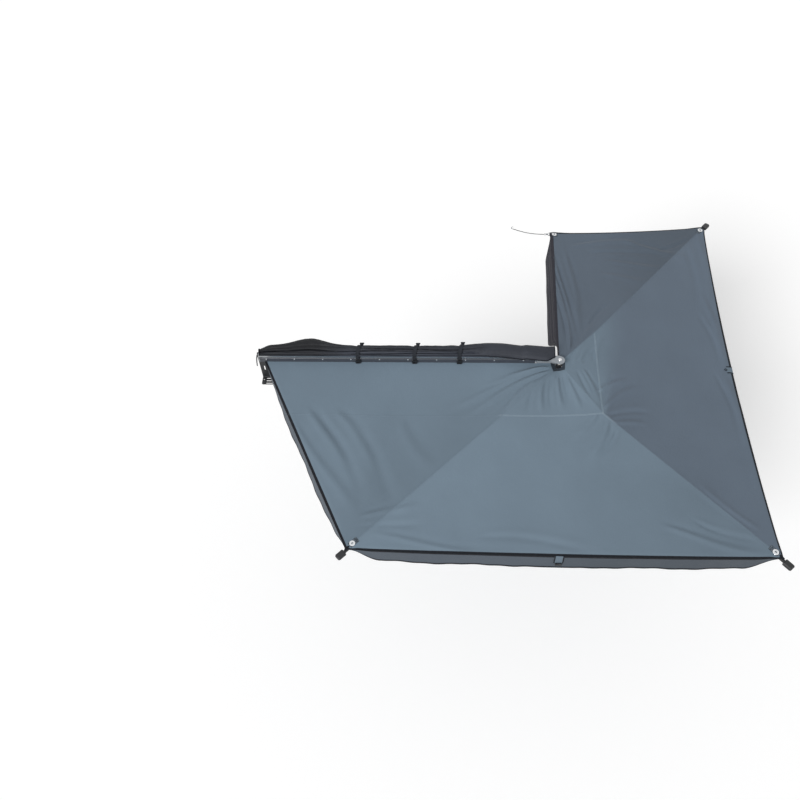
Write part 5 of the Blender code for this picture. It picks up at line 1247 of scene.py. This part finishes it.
class AWNING_OT_edge_tape(bpy.types.Operator):
    """Webbing tape over the roof's outer edge, on each valance's hem and round the hub"""
    bl_idname = "awning.edge_tape"
    bl_label = "Edge tape"

    def execute(self, context):
        thickness = take_settings()[1].tape_thickness
        grid = BUILT["cloth"]
        edge = grid.roof_rows - 1
        rows = grid.points.shape[0]
        # Rows of the grid that each tape covers, the row of its stitches, and its webbing
        tapes = ((edge - TAPE_INNER_ROWS, edge + TAPE_OUTER_ROWS + 1, 1, "black_webbing"),
                 (rows - HEM_ROWS, rows, 0, "black_webbing"),
                 (0, len(HUB_STEPS) + 1, 1, "grey_webbing"))
        for body in GATHERS:
            first, last = grid.columns_of(body)
            columns = slice(first, last + 1)
            pieces = []
            for low, high, inset, kind in tapes:
                block = grid.points[low:high, columns]
                normals = grid.normals[low:high, columns]
                sewn = block[inset] + normals[inset] * (thickness + 0.0001)
                add_stitches(body, "black", list(zip(sewn[::3], normals[inset, ::3])))
                if low == 0:
                    # The binding reaches past the cloth towards the hinge
                    inner = block[:1].copy()
                    inner[..., :2] += (PIN[:2] - inner[..., :2]) * HUB_TAPE_REACH
                    block = np.concatenate([inner, block])
                    normals = np.concatenate([normals[:1], normals])
                count, width = block.shape[:2]
                uv = length_uv(block.swapaxes(0, 1)).reshape(width - 1, count - 1, 4, 2)
                pieces.append(closed_sheet("tape", block, thickness * 0.97, finish(kind), thickness,
                                           normals, uv.swapaxes(0, 1).reshape(-1, 4, 2)))
            carry(joined("edge_tape_" + body, pieces), body)
        return {"FINISHED"}


# Travel bag

def bell(x, centre, spread):
    return math.exp(-((x - centre) / spread) ** 2)


def flap_share(x):
    """0 where the bag's long rolls are, 1 on the smooth flap that lies over its rear part."""
    return smooth((x - 0.42) / 0.20)


def bag_outline(x, share):
    """Point (y, z) of the plain bag at x, share 0 at its front foot and 1 at its rear foot."""
    flap = smooth((x - BAG_FLAP_START_X) / 0.430)
    front = CLAMP_EDGE[0] - 0.002 - 0.045 * flap + 0.036 * smooth((x - 0.985) / 0.065)
    shrink = smooth((x + RAIL_HALF_LENGTH + 0.05) / 0.15)
    far = 0.045 + 0.068 * bell(x, -0.655, 0.150) + 0.030 * bell(x, 0.620, 0.220)
    far = -0.012 + (far + 0.012) * shrink
    floor = 0.0353 + 0.012 * smooth((x - 0.82) / 0.040)
    rise = 0.050 * (0.55 + 0.45 * shrink) * (1 - 0.35 * flap)
    angle = math.pi * (1 - share)
    y = (front + far) / 2 + (far - front) / 2 * math.cos(angle)
    z = floor + rise * (1 + 0.25 * math.cos(angle)) * max(math.sin(angle), 0.0) ** 0.75
    return y, z


# Furrows between the bag's long rolls: share round the bag, sway, phase and width
BAG_FURROWS = ((0.155, 0.025, 0.4, 0.026), (0.30, 0.045, 1.9, 0.032),
               (0.48, 0.055, 3.3, 0.042), (0.70, 0.050, 5.0, 0.050))


def bag_rolls(x, share):
    """Depth of the furrows between the long rolls that the bag's cloth lies in, 0 to about 1.5."""
    depth = 0.0
    for middle, sway, phase, width in BAG_FURROWS:
        swing = math.sin(5.3 * x + phase) + 0.4 * math.sin(13.0 * x + 2 * phase)
        strength = 0.75 + 0.35 * math.sin(3.7 * x + 2.3 * phase)
        depth += strength * bell(share, middle + sway * swing, width)
    return depth * (1 - 0.9 * flap_share(x))


def bag_fold(x, share, height):
    """How far the bag's skin lies under its plain outline: long rolls, creases and strap waists."""
    crease = noise.noise(Vector((x * 16.0, share * 6.0, 1.3)))
    crease += 0.6 * noise.noise(Vector((x * 38.0 + share * 9.0, share * 11.0, 5.0)))
    waist = sum(bell(x, place, 0.030) for place in STRAP_PLACES)
    depth = 1.25 * bag_rolls(x, share) + 0.45 * waist
    depth += 0.22 * (1 + crease) * (1 - 0.4 * flap_share(x))
    return height * 1.15 * min(depth, 2.1) * min(1.0, 9 * share, 9 * (1 - share))


def bag_tone_and_painted_shade(x, share):
    """How light the bag's cloth is: painted shade in the furrows between its rolls; otherwise
    darkest behind its front part, lighter on its lower rolls and palest on the lying flap.
    """
    along = 0.32 + 0.66 * smooth((x + 0.62) / 0.30) + 0.48 * smooth((x - 0.46) / 0.16)
    roll = 1.0 + 1.1 * smooth((0.40 - share) / 0.22) * (1 - flap_share(x))
    return float(along * roll * (1 - 0.35 * min(bag_rolls(x, share), 1.0)))


def bag_point(x, share, height, grow=0.0):
    """Point (y, z) of the folded skin, moved towards the middle of the section."""
    y, z = bag_outline(x, share)
    foot, rear = bag_outline(x, 0.0), bag_outline(x, 1.0)
    middle, low = (foot[0] + rear[0]) / 2, foot[1] + 0.004
    reach = max(math.hypot(y - middle, z - low), 1e-6)
    scale = 1 + (grow - bag_fold(x, share, height)) / reach
    return middle + (y - middle) * scale, max(low + (z - low) * scale, foot[1])


class AWNING_OT_travel_bag(bpy.types.Operator):
    """Travel bag laid back over the rail, its skin fallen into long rolls, with piping and a zip"""
    bl_idname = "awning.travel_bag"
    bl_label = "Travel bag"

    def execute(self, context):
        _, trim, _ = take_settings()
        height = trim.bag_folds
        rings = []
        dye = []
        colour = Vector(trim.bag_colour)
        for x, draw in self.stations():
            shares = [j / BAG_RING for j in range(BAG_RING + 1)]
            ring = [bag_point(x, share, height) for share in shares]
            # Each point's colour is the bag's colour with painted shade in its furrows
            tones = [colour * bag_tone_and_painted_shade(x, share) for share in shares]
            dye.append(tones + [tones[0]] * 7)
            front, floor = ring[0]
            rear = ring[-1][0]
            ring += [(rear + (front - rear) * j / 8, floor) for j in range(1, 8)]
            middle, low = sum(y for y, _ in ring) / len(ring), floor + 0.008
            rings.append([(x, middle + (y - middle) * draw, max(low + (z - low) * draw, floor))
                          for y, z in ring])
        points = np.array(rings)
        middles = points.mean(axis=1)
        around = run_lengths(np.concatenate([points, points[:, :1]], axis=1), 1)
        bag = skin("travel_bag_skin", points.tolist(), around, run_lengths(middles, 0),
                   finish("coated_bag_cloth"), 60, tips=middles[[0, -1]].tolist(), dye=dye)
        attach(bag, "case", "bag_cloth", "travel_bag")
        self.make_piping(height)
        self.make_zip(height, trim)
        self.make_puller()
        return {"FINISHED"}

    def stations(self):
        """Stations along the bag, and how far each section is drawn in; both ends are rounded."""
        angles = [math.pi / 2 * i / 5 for i in range(6)]
        length = BAG_REAR_X - BAG_START_X - 0.016
        return ([(BAG_START_X + 0.010 * (1 - math.cos(angle)), 0.35 + 0.65 * math.sin(angle))
                 for angle in angles[:-1]]
                + [(BAG_START_X + 0.010 + length * i / BAG_STATIONS, 1.0)
                   for i in range(BAG_STATIONS + 1)]
                + [(BAG_REAR_X - 0.006 * (1 - math.sin(angle)), 0.80 + 0.20 * math.cos(angle))
                   for angle in angles[1:]])

    def make_piping(self, height):
        """Black piping round both ends of the bag and along the lying edge of its flap."""
        webbing_black = finish("black_webbing")
        end = BAG_REAR_X - 0.0045
        lying = []
        for x in np.linspace(PIPING_START_X, end, 70).tolist():
            y, z = bag_point(x, 0.0, height)
            lying.append((x, y - 0.0006, z + 0.0036))
        corner_z = lying[-1][2]
        for j in range(1, BAG_RING + 1):
            y, z = bag_point(end, j / BAG_RING, height)
            lying.append((end + 0.0005, y, max(z, corner_z) + 0.0002))
        rim = []
        for j in range(BAG_RING + 1):
            y, z = bag_point(BAG_START_X + 0.008, j / BAG_RING, height)
            rim.append((BAG_START_X + 0.006, y, z + 0.0030))
        hem = []
        for x in np.linspace(BAG_START_X + 0.006, PIPING_START_X, 240).tolist():
            hem.append((x, *bag_point(x, HEM_SHARE, height)))
        pieces = [tube("piping", lying, PIPING_RADIUS, webbing_black, 12),
                  tube("rim", rim, RIM_RADIUS, webbing_black, 12),
                  tube("hem", hem, HEM_RADIUS, webbing_black, 10)]
        attach(joined("bag_piping", pieces), "case", "webbing")

    def make_zip(self, height, trim):
        """Zip tape with its coil along the bag's rear foot."""
        rows = []
        coil = []
        for i in range(ZIP_STEPS + 1):
            x = BAG_START_X + ZIP_START + ZIP_LENGTH * i / ZIP_STEPS
            (y0, z0), (y1, z1) = (bag_point(x, share, height, 0.0010) for share in ZIP_SHARES)
            rows.append([(x, y0 + (y1 - y0) * j / 3, z0 + (z1 - z0) * j / 3) for j in range(4)])
            normal = unit(np.array((0.0, z0 - z1, y1 - y0)))
            coil.append((np.array((x, (y0 + y1) / 2, (z0 + z1) / 2)) + normal * 0.0010, normal))
        tape = facing_up(np.array(rows), 100, 1)
        band = closed_sheet("zip_tape", tape, 0.0006, finish("black_webbing"))
        teeth = run_tree(path_mesh("zip_path", [coil]),
                         row_tree("zip_coil", finish("black_nylon"), "tooth"),
                         Pitch=trim.tooth_pitch, Length=0.0024, Radius=0.0026)
        attach(band, "case", "webbing")
        attach(teeth, "case", "black_plastic")

    def make_puller(self):
        """Webbing puller that hangs off the bag's front end."""
        rows = []
        for i in range(14):
            share = i / 13
            x = BAG_START_X - 0.0065 - 0.0022 * math.sin(math.pi * share)
            y = -0.030 - 0.058 * share
            z = 0.044 - 0.052 * share ** 1.6
            rows.append([(x + 0.0003 * j, y + 0.006 * (j - 1), z - 0.010 * (j - 1))
                         for j in range(3)])
        puller = closed_sheet("zip_puller", np.array(rows), 0.0016, finish("black_webbing"))
        attach(puller, "case", "webbing")


class AWNING_OT_straps(bpy.types.Operator):
    """Three straps over the bag, each with its tail and its end keeper behind the bag"""
    bl_idname = "awning.straps"
    bl_label = "Bag straps"

    def execute(self, context):
        _, trim, _ = take_settings()
        for number, place in enumerate(STRAP_PLACES):
            name = "bag_strap_%d" % (number + 1)
            pieces = [self.make_strap(place, trim.bag_folds), self.make_keeper(place)]
            attach(joined(name + "_webbing", pieces), "case", "webbing", name)
        return {"FINISHED"}

    def path(self, place, height):
        """Side view of a strap in (y, z): from its buckle up over the bag to its tail."""
        front = min(bag_outline(place, 0.0)[0], CLAMP_EDGE[0]) - 0.0022
        points = [(front, STRAP_END_Z), (front, 0.012), (front - 0.0002, 0.030)]
        points += [bag_point(place, j / BAG_RING, height * 0.25, 0.0020)
                   for j in range(3, BAG_RING - 1)]
        y = points[-1][0]
        return points + [(y + 0.010, 0.0375), (y + 0.024, 0.0372), (y + 0.036, 0.0380)]

    def middle_x(self, place, y):
        """Middle of a strap, which leans a little along the rail as it runs back."""
        return place + STRAP_LEAN * (y - CLAMP_EDGE[0])

    def make_strap(self, place, height):
        rows = np.array([[(self.middle_x(place, y) + STRAP_WIDTH * (j / 4 - 0.5), y, z)
                          for j in range(5)] for y, z in self.path(place, height)])
        return closed_sheet("strap", facing_up(rows, len(rows) // 2, 2), STRAP_THICKNESS,
                            finish("strap_webbing"))

    def make_keeper(self, place):
        """Folded and sewn end of the strap's tail."""
        y, z = self.path(place, 0.0)[-1]
        turn = Matrix.Translation((self.middle_x(place, y), y + 0.003, z))
        profile = mirrored((0.0, -0.016), (0.0042, -0.0155), (0.0050, -0.013))
        return turned("keeper", profile, 16, finish("strap_webbing"),
                      turn @ Matrix.Rotation(math.pi / 2, 4, "Y"))


# Far edge and tether

class AWNING_OT_far_flap(bpy.types.Operator):
    """Strap along the free edge and the dark flap that hangs from it in loose folds"""
    bl_idname = "awning.far_flap"
    bl_label = "Far edge flap"

    def execute(self, context):
        trim = take_settings()[1]
        side = beside(CORNER_D_HEADING)
        places = np.linspace(EDGE_STRAP_START, CORNER_D_REACH, 181)
        inside = self.over_cloth(-4, places)
        on_edge = self.over_cloth(-1, places)
        rows = []
        for along, inner, base in zip(places.tolist(), inside, on_edge):
            share = (along - CLOTH_INNER_RADIUS) / (CORNER_D_REACH - CLOTH_INNER_RADIUS)
            from_end = min(along - FLAP_START, CORNER_D_REACH - along)
            hang = smooth((from_end - FLAP_MARGIN) / FLAP_TAPER)
            fall = 0.0026 + FLAP_HEIGHT * hang
            slant = FLAP_SLANT * (1.0 - 0.5 * share) * hang
            row = [inner] + [base + side * EDGE_STRAP_WIDTH * part for part in (0.0, 0.5, 0.92)]
            for part in np.linspace(0.0, 1.0, FLAP_ROWS + 1)[1:].tolist():
                # Folds that run with the edge, and sway as they go
                turn = 2 * math.pi * 3.1 * part + 1.5 * math.sin(3.7 * along) + 0.6 * along
                crease = (0.5 + 0.5 * math.sin(turn)) * math.sin(math.pi * part) ** 0.5
                crease += 0.25 * math.sin(9.0 * along + 5.0 * part) * part
                out = EDGE_STRAP_WIDTH * 0.92 + slant * part ** 0.7 - 0.0085 * hang * abs(crease)
                row.append(base + side * out - np.array((0, 0, fall * part)))
            rows.append(row)
        points = facing_up(np.array(rows), 60, 1)
        # The flap's dark colour, painted shade included
        dye = np.broadcast_to(np.array(trim.flap_colour_and_painted_shade), points.shape)
        flap = closed_sheet("far_flap", points, 0.0009, finish("coated_bag_cloth"), dye=dye)
        carry(flap, "far_edge")
        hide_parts("far_edge_flap")
        return {"FINISHED"}

    def over_cloth(self, column, places):
        """Points just over one of the roof's last columns, by distance from the pin."""
        grid = BUILT["cloth"]
        line = (grid.points + grid.normals * 0.0013)[:grid.roof_rows, column]
        away = np.linalg.norm((line - PIN)[:, :2], axis=1)
        return np.stack([np.interp(places, away, line[:, i]) for i in range(3)], axis=1)


class AWNING_OT_tether(bpy.types.Operator):
    """Braided cord from the corner's snap hook to its small end hook"""
    bl_idname = "awning.tether"
    bl_label = "Tether cord"

    def execute(self, context):
        place = JOINTS["tether_swing"]["pos_m"]
        turn = Matrix.Rotation(math.radians(HOOK_HEADING), 4, "Z")
        start = Matrix.Translation(place) @ turn @ Vector((HOOK_CORD_X, 0.0, HOOK_CORD_Z))
        points = []
        for share in np.linspace(0.0, 1.0, CORD_STEPS + 1).tolist():
            sag = Vector((0.0, 0.0, CORD_SAG * math.sin(math.pi * share)))
            points.append(start.lerp(Vector(CORD_END), share) - sag)
        cord = tube("tether_braid", points, CORD_RADIUS, finish("braided_polyester"), 14)
        attach(cord, "tether", "cord", "tether_cord")
        return {"FINISHED"}


# Webbing at the corners and edges

def mirrored(*profile):
    """Outline of a turned piece from its lower half."""
    return [*profile, *((radius, -z) for radius, z in reversed(profile))]


ARMS = {"a": ARM_A, "b": ARM_B, "c": ARM_C}


def patch_on_cloth(grid, origin, ahead, lengths, widths):
    """Points of a patch laid on the cloth along a plan direction from a plan point."""
    side = np.array((-ahead[1], ahead[0]))
    spots = [[origin + ahead * length + side * width for width in widths] for length in lengths]
    points = np.array([[grid.drop_on(*spot)[0] + np.array((0.0, 0.0, WEBBING_LIFT))
                        for spot in row] for row in spots])
    return facing_up(points, len(lengths) // 2, len(widths) // 2)


def webbing_patch(name, points, thickness, material, centre=None):
    """Closed patch of webbing, left open over an eyelet's bore round the centre."""
    keep = None
    if centre is not None:
        corners = points.reshape(-1, 3)[grid_quads(*points.shape[:2])]
        distance = np.linalg.norm(corners[..., :2] - centre[:2], axis=-1)
        keep = distance.min(axis=1) > PATCH_BORE
    return closed_sheet(name, points, thickness, material, thickness, keep=keep)


class AWNING_OT_corner_webbing(bpy.types.Operator):
    """Sewn webbing under each eyelet, with box stitching and a tongue to the arm's tip cap"""
    bl_idname = "awning.corner_webbing"
    bl_label = "Corner webbing"

    def execute(self, context):
        grid = BUILT["cloth"]
        eyelets = eyelet_places()
        webbing_grey = finish("grey_webbing")
        for (letter, arm), eyelet in zip(ARMS.items(), eyelets):
            body = "arm_" + letter
            points = patch_on_cloth(grid, (arm_line(arm, 1.0) + PIN)[:2], -radial(arm.heading)[:2],
                                    np.linspace(*PATCH_SPAN, 38),
                                    np.linspace(-PATCH_HALF_WIDTH, PATCH_HALF_WIDTH, 22))
            carry(webbing_patch("corner_patch_" + letter, points, WEBBING_THICKNESS, webbing_grey,
                                eyelet), body)
            self.box_stitch(body, points)
            self.make_tongue(letter, arm, body)
        # Square of webbing under the tethered corner's eyelet
        span = np.linspace(*LAST_PATCH_SPAN, 24)
        points = patch_on_cloth(grid, (free_line(1.0) + PIN)[:2], -radial(CORNER_D_HEADING)[:2],
                                span, span)
        patch = webbing_patch("corner_patch_d", points, WEBBING_THICKNESS, webbing_grey, eyelets[3])
        carry(patch, "far_edge")
        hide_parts("corner_tab_d")
        return {"FINISHED"}

    def box_stitch(self, body, points):
        """Square of stitches with a cross, inward of the eyelet."""
        normals = grid_normals(points)
        lifted = points + normals * (WEBBING_THICKNESS + 0.0002)

        def line(start, end):
            places = np.rint(np.linspace(start, end, 12)).astype(int)
            return [(lifted[row, column], normals[row, column]) for row, column in places]

        one, two, three, four = STITCHED_SQUARE
        add_stitches(body, "light", line(one, two) + line(two, three) + line(three, four)
                     + line(four, one))
        add_stitches(body, "light", line(one, three))
        add_stitches(body, "light", line(two, four))

    def make_tongue(self, letter, arm, body):
        """Narrow webbing from the cloth's corner down to the tip cap's neck."""
        turn = Matrix.Rotation(math.radians(arm.heading), 4, "Z")
        droop = Matrix.Rotation(ARM_DROOP, 4, "Y")
        frame_of_arm = Matrix.Translation(tuple(PIN + np.array((0, 0, arm.level)))) @ turn @ droop
        top = CLOTH_ABOVE_ARM * math.cos(ARM_DROOP) + 0.0004
        side_view = ((-0.030, top), (-0.020, top), (-0.010, top), (-0.003, top - 0.0002),
                     (0.0005, top - 0.0016), (0.0022, top - 0.0042), (0.0028, top - 0.0075),
                     (0.0030, 0.0124))
        points = np.array([[tuple(frame_of_arm @ Vector((arm.reach + x, w, z)))
                            for w in np.linspace(-0.007, 0.007, 7)] for x, z in side_view])
        tongue = webbing_patch("corner_tongue_" + letter, facing_up(points, 1, 3), 0.0013,
                               finish("black_webbing"))
        attach(tongue, body, "webbing", "corner_tab_" + letter)
        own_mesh(tongue)


class AWNING_OT_edge_tabs(bpy.types.Operator):
    """Webbing tab with a rolled toggle over the valance, in the middle of both long edges"""
    bl_idname = "awning.edge_tabs"
    bl_label = "Edge tabs"

    def execute(self, context):
        tone = np.array(take_settings()[0].near_colour) * 0.80
        grid = BUILT["cloth"]
        edge = grid.roof_rows - 1
        # The near tab starts at the edge, and the rear one on the roof, where its cord loop lies
        for name, number, on_roof in (("near", 1, 1), ("rear", 2, 9)):
            columns = np.nonzero(grid.sectors == number)[0]
            middle = (columns[0] + columns[-1] + 1) // 2
            out = outward(SECTORS[number])
            along = np.array((-out[1], out[0], 0.0))
            rows = [r for r in range(edge - on_roof, grid.points.shape[0])
                    if grid.points[edge, middle, 2] - grid.points[r, middle, 2] < TAB_DROP]
            line = grid.points[rows, middle] + grid.normals[rows, middle] * 0.0013
            widths = np.linspace(-TAB_HALF_WIDTH, TAB_HALF_WIDTH, 9)
            points = facing_up(np.stack([line + along * w for w in widths], axis=1), 0, 4)
            pieces = [closed_sheet("tab", points, TAB_THICKNESS, finish("ripstop"), TAB_THICKNESS,
                                   dye=np.broadcast_to(tone, points.shape)),
                      self.make_toggle(name, line[-1] + out * 0.0098, along)]
            for first in (0, 7):
                side = points[:, first:first + 2]
                raised = side + grid_normals(points)[:, first:first + 2] * TAB_THICKNESS
                pieces.append(webbing_patch("tab_side", raised, 0.0008, finish("black_webbing")))
            if name == "rear":
                pieces.append(self.make_loop(grid, line[0] - out * 0.006))
            attach(joined("edge_tab_%s_webbing" % name, pieces), name + "_edge", "webbing",
                   "edge_tab_" + name)
        return {"FINISHED"}

    def make_toggle(self, name, foot, along):
        """Rolled toggle at the tab's lower end."""
        foot[2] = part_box("edge_tab_" + name)[0][2] + 0.0091
        profile = mirrored((0.0, -0.0200), (0.0070, -0.0200), (0.0088, -0.0185), (0.0089, -0.012),
                           (0.0078, -0.009))
        spin = Vector((0, 0, 1)).rotation_difference(Vector(along)).to_matrix().to_4x4()
        return turned("toggle", profile, 32, finish("black_nylon"),
                      Matrix.Translation(tuple(foot)) @ spin)

    def make_loop(self, grid, centre):
        """Small loop of cord that lies on the roof beside the tab."""
        points = []
        for turn in (2 * math.pi * i / 24 for i in range(24)):
            hit, normal, _, _ = grid.drop_on(centre[0] + 0.009 * math.cos(turn),
                                             centre[1] + 0.007 * math.sin(turn))
            points.append(hit + normal * 0.0026)
        return tube("loop", points, 0.0019, finish("black_webbing"), 10, closed=True)


# Fasteners, stitches and finishes of the solids


class AWNING_OT_fasteners(bpy.types.Operator):
    """Screws of the clamp strip and the flange nuts and bolts of the brackets and hinge base"""
    bl_idname = "awning.fasteners"
    bl_label = "Fasteners"

    def execute(self, context):
        _, trim, _ = take_settings()
        low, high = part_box("canopy_clamp_strip")
        count = int((high[0] - low[0] - 0.08) / trim.screw_pitch)
        along = [low[0] + 0.05 + trim.screw_pitch * i for i in range(count + 1)]
        screws = [(x, low[1] - 0.0006, high[2] - 0.009) for x in along
                  if min(abs(x - place) for place in STRAP_PLACES) > 0.028]
        nuts = []
        for name in ("bracket_front", "bracket_rear"):
            low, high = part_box(name)
            nuts += [((low[0] + high[0]) / 2 + dx, high[1] + 0.0008, dz)
                     for dx in (-0.035, 0.035) for dz in (-0.020, 0.020)]
        low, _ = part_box("hinge_base")
        bolts = [(low[0] + dx, CLAMP_EDGE[0] - 0.0005, 0.020) for dx in (0.018, 0.082)]
        # Places, the way that they face, flange radius, and the head's radius and height
        for name, places, facing, flange, head, height in (
                ("strip_screws", screws, -1, 0.0055, 0.0034, 0.0034),
                ("bracket_nuts", nuts, 1, 0.0085, 0.0062, 0.0060),
                ("hinge_bolts", bolts, -1, 0.0080, 0.0060, 0.0050)):
            guide = guide_mesh(name + "_places", places, [(0, facing, 0)] * len(places))
            made = run_tree(guide, fastener_tree(name, finish("plated_steel")),
                            Flange=flange, Head=head, Height=height)
            attach(made, "case", "bright_steel")
        return {"FINISHED"}


class AWNING_OT_stitches(bpy.types.Operator):
    """Rows of stitches along every seam, tape and webbing patch"""
    bl_idname = "awning.stitches"
    bl_label = "Stitches"

    def execute(self, context):
        pitch = take_settings()[0].stitch_pitch
        for (body, colour), paths in STITCHES.items():
            tree = row_tree("stitches_%s_%s" % (colour, body), finish(colour + "_thread"), "stitch")
            rows = run_tree(path_mesh("stitch_path", paths), tree, Pitch=pitch,
                            Length=pitch * 0.72, Radius=STITCH_RADIUS)
            carry(rows, body)
        return {"FINISHED"}


def each(stem, marks="abc"):
    """Names of the nodes that differ only in their last mark."""
    return ["%s_%s" % (stem, mark) for mark in marks]


SOLID_FINISHES = {
    "anodised_aluminium": ["back_rail", *each("outer_tube"), *each("extension_tube")],
    "black_powder_coat": ["bracket_front", "bracket_rear"],
    "dark_anodised_strip": ["canopy_clamp_strip"],
    "grey_powder_coat": ["hinge_base"],
    "plated_steel": ["hinge_pin", "hinge_nut", *each("eyelet", "abcd")],
    "zinc_plated_wire": ["snap_hook", "snap_gate", "tether_end_hook"],
    "natural_nylon": ["base_washer", "pin_sleeve", *each("bush"), *each("thrust_washer", "ab")],
    "black_nylon": ["rail_end_cap", *each("knuckle"), *each("collar"), *each("lever"),
                    *each("tip_cap"), *each("strap_buckle", "123")],
}
EASED_EDGES = {
    0.0006: each("lever"),
    0.0007: ["bracket_front", "bracket_rear", *each("strap_buckle", "123")],
    0.0008: ["canopy_clamp_strip", "rail_end_cap", *each("knuckle")],
    0.0010: ["hinge_base"],
    0.0012: each("tip_cap"),
}


class AWNING_OT_solid_finishes(bpy.types.Operator):
    """Finishes of the metal and plastic pieces, with their edges eased"""
    bl_idname = "awning.solid_finishes"
    bl_label = "Metal and plastic"

    def execute(self, context):
        for name, pieces in SOLID_FINISHES.items():
            for piece in pieces:
                materials = frame["nodes"][piece].data.materials
                materials.clear()
                materials.append(finish(name))
        for width, pieces in EASED_EDGES.items():
            for piece in pieces:
                bevel = frame["nodes"][piece].modifiers.new("eased", "BEVEL")
                bevel.width = width
                bevel.segments = 2
                bevel.limit_method = "ANGLE"
                bevel.angle_limit = math.radians(40)
                bevel.harden_normals = False
        return {"FINISHED"}


# Stage


class AWNING_OT_stage(bpy.types.Operator):
    """Pale floor, soft light from all round and one soft main light, and the camera"""
    bl_idname = "awning.stage"
    bl_label = "Stage and camera"

    def execute(self, context):
        _, _, stage = take_settings()
        scene = context.scene
        scene.view_settings.view_transform = "Standard"
        camera = bpy.data.cameras.new("camera")
        camera.sensor_width = SENSOR_WIDTH
        camera.lens = SENSOR_WIDTH * CAMERA_FOCAL_SHARE
        camera.clip_end = 200.0
        scene.camera = link_object("camera", camera)
        right, down, forward = Vector(CAMERA_RIGHT), Vector(CAMERA_DOWN), Vector(CAMERA_FORWARD)
        turn = Matrix((right, -down, -forward)).transposed().to_4x4()
        scene.camera.matrix_world = Matrix.Translation(CAMERA_PLACE) @ turn
        self.make_key_light(stage)
        self.make_world(scene, stage)
        self.make_floor()
        return {"FINISHED"}

    def make_key_light(self, stage):
        light = bpy.data.lights.new("key", "SUN")
        light.energy = stage.key_strength
        light.angle = math.radians(24)
        flat = math.cos(stage.key_elevation)
        away = Vector((math.cos(stage.key_azimuth) * flat, math.sin(stage.key_azimuth) * flat,
                       math.sin(stage.key_elevation)))
        item = link_object("key", light)
        item.rotation_mode = "QUATERNION"
        item.rotation_quaternion = away.to_track_quat("Z", "Y")

    def make_world(self, scene, stage):
        """Even sky for the light, plain white for the camera and for reflections."""
        scene.world = bpy.data.worlds.new("studio")
        scene.world.use_nodes = True
        tree = scene.world.node_tree
        background = tree.nodes["Background"]
        background.inputs["Color"].default_value = (1.0, 1.0, 1.0, 1.0)
        path = add_node(tree, "ShaderNodeLightPath")
        seen = path.outputs["Is Camera Ray"]
        for other in ("Is Glossy Ray", "Is Transmission Ray"):
            seen = add_node(tree, "ShaderNodeMath", {0: seen, 1: path.outputs[other]},
                            operation="MAXIMUM")
        level = add_node(tree, "ShaderNodeMapRange", {"Value": seen, "To Min": stage.sky_strength,
                                                      "To Max": 1.0})
        tree.links.new(level.outputs["Result"], background.inputs["Strength"])

    def make_floor(self):
        mesh = bpy.data.meshes.new("floor")
        corners = [(x * FLOOR_HALF_SIZE, y * FLOOR_HALF_SIZE, FLOOR_Z)
                   for x, y in ((-1, -1), (1, -1), (1, 1), (-1, 1))]
        mesh.from_pydata(corners, [], [(0, 1, 2, 3)])
        pale = Surface("pale_floor", (0.80, 0.80, 0.80), 0.9, Emission_Color=(1.0, 1.0, 1.0, 1.0))
        seen = pale.add("LightPath").outputs["Is Camera Ray"]
        pale.drive("Emission Strength", pale.spread(seen, 0.0, 0.30))
        mesh.materials.append(pale.material)
        link_object("floor", mesh)


class AWNING_PT_pieces(bpy.types.Panel):
    """Settings of the awning and a button for each of its groups of pieces"""
    bl_idname = "AWNING_PT_pieces"
    bl_label = "Vehicle side awning"
    bl_space_type = "VIEW_3D"
    bl_region_type = "UI"
    bl_category = "Awning"

    def draw(self, context):
        layout = self.layout
        for group in (context.scene.awning_cloth, context.scene.awning_trim,
                      context.scene.awning_stage):
            box = layout.box()
            for name in group.bl_rna.properties.keys():
                if name not in ("rna_type", "name"):
                    box.prop(group, name)
        for item in OPERATORS:
            layout.operator(item.bl_idname)


OPERATORS = (
    AWNING_OT_stage,
    AWNING_OT_tether,
    AWNING_OT_canopy,
    AWNING_OT_seams,
    AWNING_OT_edge_tape,
    AWNING_OT_far_flap,
    AWNING_OT_corner_webbing,
    AWNING_OT_edge_tabs,
    AWNING_OT_travel_bag,
    AWNING_OT_straps,
    AWNING_OT_fasteners,
    AWNING_OT_stitches,
    AWNING_OT_solid_finishes,
)

CLASSES = (AwningCloth, AwningTrim, AwningStage, *OPERATORS, AWNING_PT_pieces)


def register():
    for item in CLASSES:
        bpy.utils.register_class(item)
    bpy.types.Scene.awning_cloth = PointerProperty(type=AwningCloth)
    bpy.types.Scene.awning_trim = PointerProperty(type=AwningTrim)
    bpy.types.Scene.awning_stage = PointerProperty(type=AwningStage)


def unregister():
    del bpy.types.Scene.awning_stage
    del bpy.types.Scene.awning_trim
    del bpy.types.Scene.awning_cloth
    for item in reversed(CLASSES):
        bpy.utils.unregister_class(item)


def main():
    register()
    bpy.ops.awning.stage()
    bpy.ops.awning.tether()
    bpy.ops.awning.canopy()
    bpy.ops.awning.seams()
    bpy.ops.awning.edge_tape()
    bpy.ops.awning.far_flap()
    bpy.ops.awning.corner_webbing()
    bpy.ops.awning.edge_tabs()
    bpy.ops.awning.travel_bag()
    bpy.ops.awning.straps()
    bpy.ops.awning.fasteners()
    bpy.ops.awning.stitches()
    bpy.ops.awning.solid_finishes()
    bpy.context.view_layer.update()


if __name__ == "__main__":
    main()
